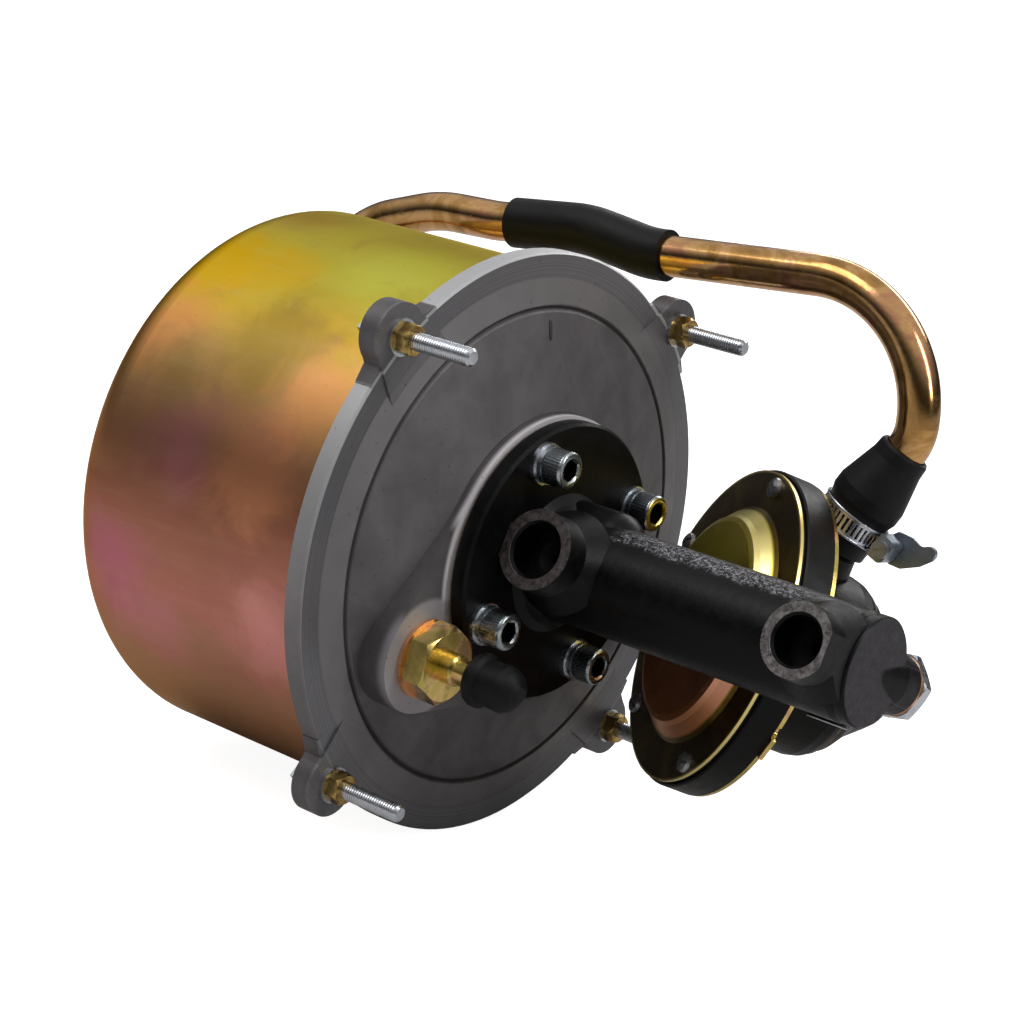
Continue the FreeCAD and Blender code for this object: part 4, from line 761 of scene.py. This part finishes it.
def around(axis: Axis, reach: np.ndarray, radius: np.ndarray, ring: bool = False) -> Surface:
    """A surface about an axis from a grid of radii.

    Each row is one turn at evenly spaced angles. A surface that isn't a ring gets a point on the
    axis before its first row and after its last, so it is closed.

    Args:
        axis: where it stands.
        reach: one column, metres along the axis of each row.
        radius: rows by columns, metres from the axis.
        ring: whether the profile closes on itself.

    Returns:
        Points and faces.
    """
    rows, columns = radius.shape
    points = axis.place(reach, radius, turn_steps(columns)).reshape(-1, 3)
    faces = grid_faces(rows, columns, ring).tolist()
    if ring:
        return points, faces
    ends = axis.place(reach[[0, -1], 0], np.zeros(2), np.zeros(2))
    first = rows * columns
    j = np.arange(columns)
    k = (j + 1) % columns
    last_row = first - columns
    faces += np.stack([k, j, np.full(columns, first)], -1).tolist()
    faces += np.stack([j + last_row, k + last_row, np.full(columns, first + 1)], -1).tolist()
    return np.concatenate([points, ends]), faces


def add_object(name: str, data: bpy.types.ID) -> Piece:
    """Make an object of some data and link it to the scene."""
    made = bpy.data.objects.new(name, data)
    bpy.context.scene.collection.objects.link(made)
    return made


def make_mesh(name: str, points: np.ndarray, faces: List, smooth: bool = True,
              crease: Optional[float] = None) -> Piece:
    """Make an object at the origin from points in metres.

    Args:
        name: the piece's name.
        points: n by 3 array.
        faces: index lists.
        smooth: whether its faces are shaded smooth.
        crease: angle in degrees above which an edge stays sharp.

    Returns:
        The object, linked to the scene.
    """
    mesh = bpy.data.meshes.new(name)
    mesh.from_pydata(points.tolist(), [], faces)
    mesh.validate()
    mesh.polygons.foreach_set("use_smooth", np.full(len(mesh.polygons), smooth))
    mesh.update()
    if crease is not None:
        mesh.set_sharp_from_angle(angle=math.radians(crease))
    return add_object(name, mesh)


def joined(parts: Sequence[Surface]) -> Surface:
    """Put several surfaces into one list of points and faces."""
    points, faces, count = [], [], 0
    for some, cells in parts:
        points.append(some)
        faces += [[index + count for index in cell] for cell in cells]
        count += len(some)
    return np.concatenate(points), faces


def carry(piece: Piece, body: str, slot: str, *nodes: str) -> None:
    """Ride a piece on a body and hide the nodes that it stands for."""
    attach(piece, body)
    if nodes:
        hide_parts(*nodes)
    LOG.info("built %s on %s", piece.name, body)


def dress(piece: Piece, *materials: Material) -> None:
    """Give a piece its materials."""
    piece.data.materials.clear()
    for material in materials:
        piece.data.materials.append(material)


# Sub-assemblies


@dataclass
class SolidPieces:
    """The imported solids, each in the finish that WEARS names."""

    finishes: Dict[Finish, Material]

    def dress_all(self, nodes: Dict[str, Piece]) -> None:
        """Put each node's finish on it.

        Args:
            nodes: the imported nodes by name.
        """
        wearers = {name: finish for finish, names in WEARS.items() for name in names}
        for name, piece in nodes.items():
            dress(piece, self.finishes[wearers[name]])
            LOG.info("dressed %s as %s", name, wearers[name].name)


@dataclass
class StudThreads:
    """The rolled threads of the four tie studs, beyond their nuts, in millimetres."""

    half_side: float = 76.2
    start: float = 7.5
    tip: float = 31.0
    crest: float = 3.12
    root: float = 3.01
    pitch: float = 1.0
    steps: int = 10
    columns: int = 32

    def surface(self, y: float, z: float) -> Surface:
        """Thread: radius = root + (crest - root) * wave(x / pitch - angle / full turn).

        The wave rises and falls in straight flanks, and it dies away over the first and last pitch.
        """
        rows = int((self.tip - self.start) / self.pitch * self.steps)
        x = np.linspace(self.start, self.tip, rows)[:, None]
        turn = np.linspace(0.0, 1.0, self.columns, endpoint=False)[None, :]
        wave = 1.0 - np.abs(2.0 * np.mod(x / self.pitch - turn, 1.0) - 1.0)
        fade = np.clip(np.minimum(x - self.start, self.tip - x) / self.pitch, 0.0, 1.0)
        radius = self.root + (self.crest - self.root) * wave * fade
        axis = Axis(Vector((0.0, y, z)) * MM, AHEAD, Vector((0.0, 1.0, 0.0)))
        return around(axis, x * MM, radius * MM)

    def build(self, material: Material) -> None:
        """Make all four in one piece."""
        h = self.half_side
        parts = [self.surface(y, z) for y in (-h, h) for z in (-h, h)]
        piece = make_mesh("stud_threads", *joined(parts))
        dress(piece, material)
        carry(piece, "booster", "bright_zinc")


@dataclass
class CapScrews:
    """The four socket cap screws with knurled heads, in millimetres."""

    half_side: float = 28.8
    tip: float = 7.8
    seat: float = 25.8
    height: float = 8.0
    head: float = 6.5
    shank: float = 4.0
    socket: float = 6.6
    socket_depth: float = 4.4
    mouth: float = 4.35
    mouth_bevel: float = 0.5
    knurls: int = 36
    knurl_depth: float = 0.14
    steps: int = 6
    bevel: float = 0.7
    turns: Tuple[float, ...] = (0.2, 0.9, 0.5, 0.1)
    rim_row: int = 9
    mouth_row: int = 12

    def surface(self, y: float, z: float, turn: float) -> Surface:
        """Screw: each row is a turn whose radius is a circle, a knurled circle or a hexagon.

        Knurl: radius = head - depth * (1 - |cos(teeth * angle / 2)|). Hexagon: radius = half the
        width across flats / cos(angle from the middle of the nearest flat).
        """
        a = turn_steps(self.knurls * self.steps)
        flat = np.mod(a - turn, math.pi / 3) - math.pi / 6
        hexagon = 0.5 * self.socket / np.cos(flat)
        knurl = self.head - self.knurl_depth * (1.0 - np.abs(np.cos(self.knurls * a / 2)))
        shank, head = np.full_like(a, self.shank), np.full_like(a, self.head)
        top = self.seat + self.height
        edge = top - self.bevel
        bottom = top - self.socket_depth
        rows = [
            (self.tip, shank - 0.8), (self.tip + 0.8, shank), (self.seat, shank),
            (self.seat, head - 0.5), (self.seat + 0.3, head - 0.1), (self.seat + 0.6, knurl),
            (edge - 0.6, knurl), (edge - 0.3, head - 0.02), (edge, head - 0.08),
            (top - 0.3, head - 0.45), (top, head - 0.95), (top, np.full_like(a, self.mouth)),
            (top - self.mouth_bevel, np.minimum(hexagon + 0.25, 4.0)),
            (top - self.mouth_bevel - 0.1, hexagon), (bottom, hexagon), (bottom - 0.6, 0.3 * hexagon)]
        reach = np.array([[x] for x, _ in rows])
        radius = np.array([r for _, r in rows])
        across = casting(0.0, 1.0, 0.0).normalized()
        return around(Axis(casting(0.0, y, z), AHEAD, across), reach * MM, radius * MM)

    def build(self, plating: Material, hollow: Material, gold: Material) -> None:
        """Make all four in one piece.

        Args:
            plating: finish of the screws.
            hollow: near-black painted shade inside the sockets, from the mouth's row on.
            gold: finish of the last screw's rim, from the rim's row to the mouth's.
        """
        h = self.half_side
        spots = [(y, z) for y in (-h, h) for z in (-h, h)]
        parts = [self.surface(y, z, turn) for (y, z), turn in zip(spots, self.turns)]
        piece = make_mesh("cap_screws", *joined(parts), crease=32.0)
        columns = self.knurls * self.steps
        one = np.zeros(len(parts[0][1]), dtype=np.int32)
        one[self.mouth_row * columns:-2 * columns] = 1
        one[-columns:] = 1
        rimmed = one.copy()
        rimmed[self.rim_row * columns:self.mouth_row * columns] = 2
        dress(piece, plating, hollow, gold)
        piece.data.polygons.foreach_set("material_index", np.concatenate([one, one, one, rimmed]))
        carry(piece, "booster", "bright_zinc", "flange_screws")


@dataclass
class HoseClamp:
    """The slotted worm band round the hose, in millimetres."""

    reach: float = 26.4
    side: float = 16.8
    up: float = 51.8
    angle: float = math.radians(65.8)
    lean: float = math.radians(8.1)
    inner: float = 12.13
    face: float = 12.8
    edge: float = 13.25
    width: float = 8.0
    slots: int = 40
    slot_depth: float = 0.55
    slot_half: float = 2.45
    slot_share: float = 0.24
    slot_slope: float = 0.05
    slant: float = 0.05
    middle_rows: Tuple[float, ...] = (-2.7, -2.5, -2.3, -1.2, 0.0, 1.2, 2.3, 2.5, 2.7)
    columns: int = 800

    def axis(self) -> Axis:
        """The hose's axis, based at the middle of the band."""
        base = valve(self.reach, self.side, self.up)
        s, c = math.sin(self.lean), math.cos(self.lean)
        side, up = c * math.cos(self.angle), c * math.sin(self.angle)
        along = (valve(self.reach + s, self.side + side, self.up + up) - base).normalized()
        return Axis(base, along, along.orthogonal().normalized())

    def build(self, plating: Material, hollow: Material) -> None:
        """Band: a ring of a flat profile with raised edges, pressed in at its slots.

        Slot: depth * step(distance from the slot's middle round the band, slanted with the width),
        in the rows that lie within the slot's half length.

        Args:
            plating: finish of the band.
            hollow: near-black painted shade on the bottoms of its slots.
        """
        half = self.width / 2
        lip = [(-half, self.edge - 0.1), (-half + 0.15, self.edge), (-half + 0.6, self.edge),
               (-half + 0.8, self.face)]
        middle = [(w, self.face) for w in self.middle_rows]
        far_lip = [(-w, radius) for w, radius in reversed(lip)]
        profile = np.array([(half, self.inner), (-half, self.inner)] + lip + middle + far_lip)
        w = profile[:, :1]
        phase = np.mod(turn_steps(self.columns) * self.slots / FULL_TURN + self.slant * w, 1.0)
        across = np.clip((self.slot_share - np.abs(phase - 0.5)) / self.slot_slope, 0.0, 1.0)
        press = self.slot_depth * across * (np.abs(w) < self.slot_half)
        points, faces = around(self.axis(), w * MM, (profile[:, 1:] - press) * MM, ring=True)
        piece = make_mesh("slotted_band", points, faces, crease=40.0)
        sunk = (press > 0.5 * self.slot_depth).ravel()[np.array(faces)].all(axis=1)
        dress(piece, plating, hollow)
        piece.data.polygons.foreach_set("material_index", sunk.astype(np.int32))
        carry(piece, "booster", "bright_zinc", "clamp_band")


@dataclass
class CoilSpring:
    """A round wire spring, in millimetres.

    Base and ahead are two points of its axis, given in metres, and the spring starts at the base.
    """

    node: str
    joint: str
    base: Vector
    ahead: Vector
    length: float
    radius: float
    wire: float
    turns: int
    travel: float
    fixed_at_base: bool = False
    steps: int = 40
    columns: int = 14
    slack: float = 0.006

    def build(self, material: Material) -> None:
        """Coil: a circle of the wire carried round a helix.

        With t from 0 to 1 along the wire and a round it: angle = full turns * t, reach = wire +
        (length - 2 * wire) * t + wire * cos a, radius = coil radius + wire * sin a.
        """
        t = np.linspace(0.0, 1.0, self.turns * self.steps + 1)[:, None]
        a = turn_steps(self.columns)[None, :]
        reach = self.wire + (self.length - 2 * self.wire) * t + self.wire * np.cos(a)
        radius = self.radius + self.wire * np.sin(a)
        along = (self.ahead - self.base).normalized()
        axis = Axis(self.base, along, along.orthogonal().normalized())
        points = axis.place(reach * MM, radius * MM, FULL_TURN * self.turns * t).reshape(-1, 3)
        piece = make_mesh(self.node + "_coil", points, rod_faces(len(t), self.columns))
        dress(piece, material)
        carry(piece, "booster", "spring_steel", self.node)
        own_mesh(piece)


def inner_springs() -> List[CoilSpring]:
    """The springs of the power piston, the relay valve and the check valve."""
    union, union_ahead = (Vector((x, *UNION_SPOT)) * MM for x in (7.1, 30.0))
    return [
        CoilSpring("return_spring", "power_stroke", Vector((-95.99, 0.0, 0.0)) * MM,
                   Vector((0.0, 0.0, 0.0)), length=97.98, radius=34.0, wire=2.6, turns=6, travel=60.0),
        CoilSpring("relay_spring", "relay_stroke", valve(-8.2, 0.0, 0.0), valve(0.0, 0.0, 0.0),
                   length=5.8, radius=13.0, wire=0.55, turns=2, travel=3.0, fixed_at_base=True),
        CoilSpring("check_spring", "check_lift", union, union_ahead,
                   length=14.4, radius=4.3, wire=0.45, turns=5, travel=2.5)]


@dataclass
class FoundryMark:
    """A short raised stroke cast on the cover, in millimetres; its dark colour is painted shadow."""

    low: Place = (4.95, -2.9, 74.6)
    high: Place = (3.15, -2.7, 81.8)
    width: float = 0.8
    height: float = 0.5
    rows: int = 40
    columns: int = 12

    def build(self, material: Material) -> None:
        """Stroke: a half ellipse swept along a line, its size fading as the root of the end distance."""
        run = np.array(self.high) - np.array(self.low)
        along = run[1:]
        length = float(np.linalg.norm(along))
        t = np.linspace(0.0, 1.0, self.rows)[:, None]
        a = turn_steps(self.columns)[None, :]
        size = np.sqrt(np.clip(np.minimum(t, 1.0 - t) * length / self.width, 0.02, 1.0))
        direction = along / length
        across = np.array((-direction[1], direction[0]))
        offset = self.width * size * np.cos(a)
        x = self.low[0] + run[0] * t + self.height * size * np.sin(a)
        y = self.low[1] + along[0] * t + across[0] * offset
        z = self.low[2] + along[1] * t + across[1] * offset
        points = np.stack([x, y, z], -1).reshape(-1, 3) * MM
        piece = make_mesh("foundry_mark", points, rod_faces(self.rows, self.columns))
        dress(piece, material)
        carry(piece, "booster", "cast_aluminium")


@dataclass(frozen=True)
class SoftBox:
    """A rectangular lamp that faces the object: place and size in metres, power in watts."""

    name: str
    place: Place
    size: Pair
    power: float

    def build(self) -> None:
        """Hang the lamp."""
        data = bpy.data.lights.new(self.name, "AREA")
        data.shape = "RECTANGLE"
        data.size, data.size_y = self.size
        data.energy = self.power
        lamp = add_object(self.name, data)
        lamp.location = self.place
        lamp.rotation_euler = (-Vector(self.place)).to_track_quat("-Z", "Y").to_euler()


@dataclass
class Studio:
    """Floor, light and camera, in metres. The camera's axes are those that fit the photograph."""

    floor_z: float
    floor_half: float = 30.0
    floor_colour: Colour = (0.56, 0.55, 0.55)
    floor_glow: float = 0.93
    backdrop: float = 1.05
    room: float = 0.75
    lens_mm: float = 92.38
    eye: Place = (0.54394, -0.71066, 0.20758)
    right: Place = (0.76135, 0.62846, 0.15935)
    up: Place = (-0.25759, 0.06767, 0.96388)
    back: Place = (0.59498, -0.77489, 0.21341)
    sky: Stops = ((0.00, (0.22, 0.21, 0.21)), (0.40, (0.11, 0.11, 0.115)), (0.51, (0.035, 0.035, 0.038)),
                  (0.60, (0.06, 0.06, 0.065)), (0.69, (0.30, 0.30, 0.31)), (0.81, (0.88, 0.88, 0.88)),
                  (1.00, (1.0, 1.0, 1.0)))
    lamps: Tuple[SoftBox, ...] = (
        SoftBox("key", (-0.35, -0.75, 1.35), (0.9, 0.7), 8.0),
        SoftBox("side", (1.25, 0.25, 0.75), (0.25, 0.9), 7.0),
        SoftBox("rear", (-0.2, 1.2, 0.8), (1.2, 0.35), 7.0))

    def build_floor(self) -> None:
        """Lay a pale floor under the object; it glows white to the eye and lights little."""
        h = self.floor_half
        points = np.array([(x, y, self.floor_z) for x, y in ((-h, -h), (h, -h), (h, h), (-h, h))])
        floor = make_mesh("floor", points, [(0, 1, 2, 3)], smooth=False)
        s = Shade("floor_pale")
        s.surface(self.floor_colour, 0.0, 0.9)
        glow = s.node("ShaderNodeEmission")
        seen = s.node("ShaderNodeLightPath").outputs["Is Camera Ray"]
        s.feed(glow.inputs["Strength"], s.times(seen, self.floor_glow))
        both = s.node("ShaderNodeAddShader")
        s.feed_all(both, s.shader.outputs["BSDF"], glow.outputs[0])
        s.feed(s.output.inputs["Surface"], both.outputs[0])
        dress(floor, s.material)
        floor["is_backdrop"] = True

    def build_sky(self) -> None:
        """Light the object from a bright ceiling over a dim room, against a white backdrop."""
        world = bpy.data.worlds.new("studio")
        bpy.context.scene.world = world
        world.use_nodes = True
        n = Nodes(world.node_tree)
        parts = n.node("ShaderNodeSeparateXYZ")
        n.feed(parts.inputs[0], n.node("ShaderNodeTexCoord").outputs["Generated"])
        height = n.plus(n.times(parts.outputs[2], 0.5), 0.5)
        room = n.tree.nodes["Background"]
        n.feed_all(room, n.ramp(height, self.sky), self.room)
        white = n.node("ShaderNodeBackground")
        n.feed_all(white, (1.0, 1.0, 1.0), self.backdrop)
        both = n.node("ShaderNodeMixShader")
        seen = n.node("ShaderNodeLightPath").outputs["Is Camera Ray"]
        n.feed_all(both, seen, room.outputs[0], white.outputs[0])
        n.feed(n.tree.nodes["World Output"].inputs[0], both.outputs[0])

    def build_camera(self) -> None:
        """Set the camera where the photograph was taken from."""
        data = bpy.data.cameras.new("camera")
        data.sensor_width = 36.0
        data.sensor_fit = "HORIZONTAL"
        data.lens = self.lens_mm
        data.clip_start = 0.01
        camera = add_object("camera", data)
        turn = Matrix((self.right, self.up, self.back)).transposed()
        camera.matrix_world = Matrix.Translation(self.eye) @ turn.to_4x4()
        bpy.context.scene.camera = camera

    def build(self) -> None:
        """Set up the whole studio."""
        self.build_floor()
        self.build_sky()
        for lamp in self.lamps:
            lamp.build()
        self.build_camera()
        bpy.context.scene.view_settings.view_transform = "Standard"


def bare_faces() -> Tuple[BareFace, ...]:
    """The machined faces of the casting: two ports, the barrel's end and the hexagon plug's seat."""
    first_port, last_port = (tuple(casting(x, PORT_FACE, 0.0)) for x in PORT_SPOTS)
    return (BareFace(first_port, OUTWARD, 0.0142, (0.050, 0.042, 0.040), (0.15, 0.13, 0.125)),
            BareFace(last_port, OUTWARD, 0.0127),
            BareFace(tuple(AHEAD * BARREL_END * MM), tuple(AHEAD), 0.028, (0.017, 0.015, 0.018),
                     (0.034, 0.030, 0.036), 0.0),
            BareFace(tuple(casting(*PLUG_SEAT)), DOWNWARD, 0.0075, (0.30, 0.30, 0.31), (0.55, 0.55, 0.57)))


def barrel_band() -> RoughBand:
    """The coarse strip along the top of the barrel, turned from the top towards the ports."""
    # The strip lies where the barrel's painted highlight falls.
    ports, top = casting(0.0, -1.0, 0.0).normalized(), casting(0.0, 0.0, 1.0).normalized()
    return RoughBand(tuple(ports * math.sin(BAND_TURN) + top * math.cos(BAND_TURN)), first=0.044, last=0.132)


def build_finishes() -> Dict[Finish, Material]:
    """Make every finish once.

    Returns:
        Materials by finish.
    """
    nut = ((0.0, (0.17, 0.10, 0.04)), (0.4, (0.40, 0.27, 0.08)), (0.6, (0.60, 0.42, 0.14)),
           (1.0, (0.24, 0.14, 0.07)))
    pipe = ((0.0, (0.34, 0.18, 0.06)), (0.4, (0.52, 0.29, 0.10)), (0.6, (0.64, 0.38, 0.16)),
            (1.0, (0.50, 0.22, 0.13)))
    recipes = {
        Finish.SHELL: ShellZinc(),
        Finish.COVER: CastAluminium(),
        Finish.CASTING: BlackEnamel("casting_enamel", bare_faces=bare_faces(), bands=(barrel_band(),)),
        Finish.ENAMEL: BlackEnamel("valve_enamel", (0.0020, 0.0016, 0.0012), (0.0055, 0.0046, 0.0036)),
        Finish.DOME: DomeZinc(),
        Finish.YELLOW: YellowZinc("fitting_zinc", roughness=0.22),
        Finish.NUT: YellowZinc("nut_zinc", nut, 120.0, 0.20),
        Finish.PIPE: YellowZinc("pipe_zinc", pipe, 55.0, 0.13),
        Finish.BRIGHT: BrightMetal(),
        Finish.DULL: BrightMetal("dull_steel", (0.36, 0.36, 0.38), (0.16, 0.14, 0.13), 0.34, 0.6),
        # The mark's near-black colour is painted shadow of the raised stroke.
        Finish.MARK: CastAluminium("mark_shadow", (0.020, 0.018, 0.017), (0.050, 0.045, 0.043)),
        Finish.SCREW: BrightMetal("screw_zinc", (0.40, 0.44, 0.46), (0.085, 0.090, 0.095), 0.22, 0.85),
        Finish.LEVER: BrightMetal("lever_zinc", (0.34, 0.38, 0.43), (0.20, 0.225, 0.25), 0.36, 0.7),
        # HOLLOW is near-black painted shade for port seats, socket insides and slot bottoms.
        Finish.HOLLOW: BrightMetal("shaded_hollow", (0.020, 0.019, 0.019), (0.010, 0.009, 0.009), 0.5, 0.5),
        Finish.STEEL: BrightMetal("turned_steel", (0.55, 0.55, 0.57), (0.35, 0.34, 0.33), 0.30, 0.4),
        Finish.COPPER: BrightMetal("copper", (0.80, 0.42, 0.22), (0.45, 0.20, 0.10), 0.32, 0.6),
        Finish.BRASS: BrightMetal("brass", (0.72, 0.56, 0.26), (0.45, 0.32, 0.12), 0.28, 0.5),
        Finish.RUBBER: Rubber(),
        Finish.FIBRE: Fibre()}
    return {finish: recipe.make() for finish, recipe in recipes.items()}


def box_of_bounds() -> List[List[float]]:
    """The whole object's box as plain numbers."""
    low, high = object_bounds()
    return [[float(v) for v in low], [float(v) for v in high]]


def main() -> None:
    """Build the dressed booster and its studio."""
    logging.basicConfig(level=logging.INFO, format="%(name)s: %(message)s")
    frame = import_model()
    packed = box_of_bounds()
    finishes = build_finishes()
    SolidPieces(finishes).dress_all(frame["nodes"])
    StudThreads().build(finishes[Finish.BRIGHT])
    CapScrews().build(finishes[Finish.SCREW], finishes[Finish.HOLLOW], finishes[Finish.YELLOW])
    HoseClamp().build(finishes[Finish.BRIGHT], finishes[Finish.HOLLOW])
    FoundryMark().build(finishes[Finish.MARK])
    for spring in inner_springs():
        spring.build(finishes[Finish.DULL])
    Studio(floor_z=packed[0][2] - FLOOR_GAP * MM).build()
    LOG.info("done")


if __name__ == "__main__":
    main()
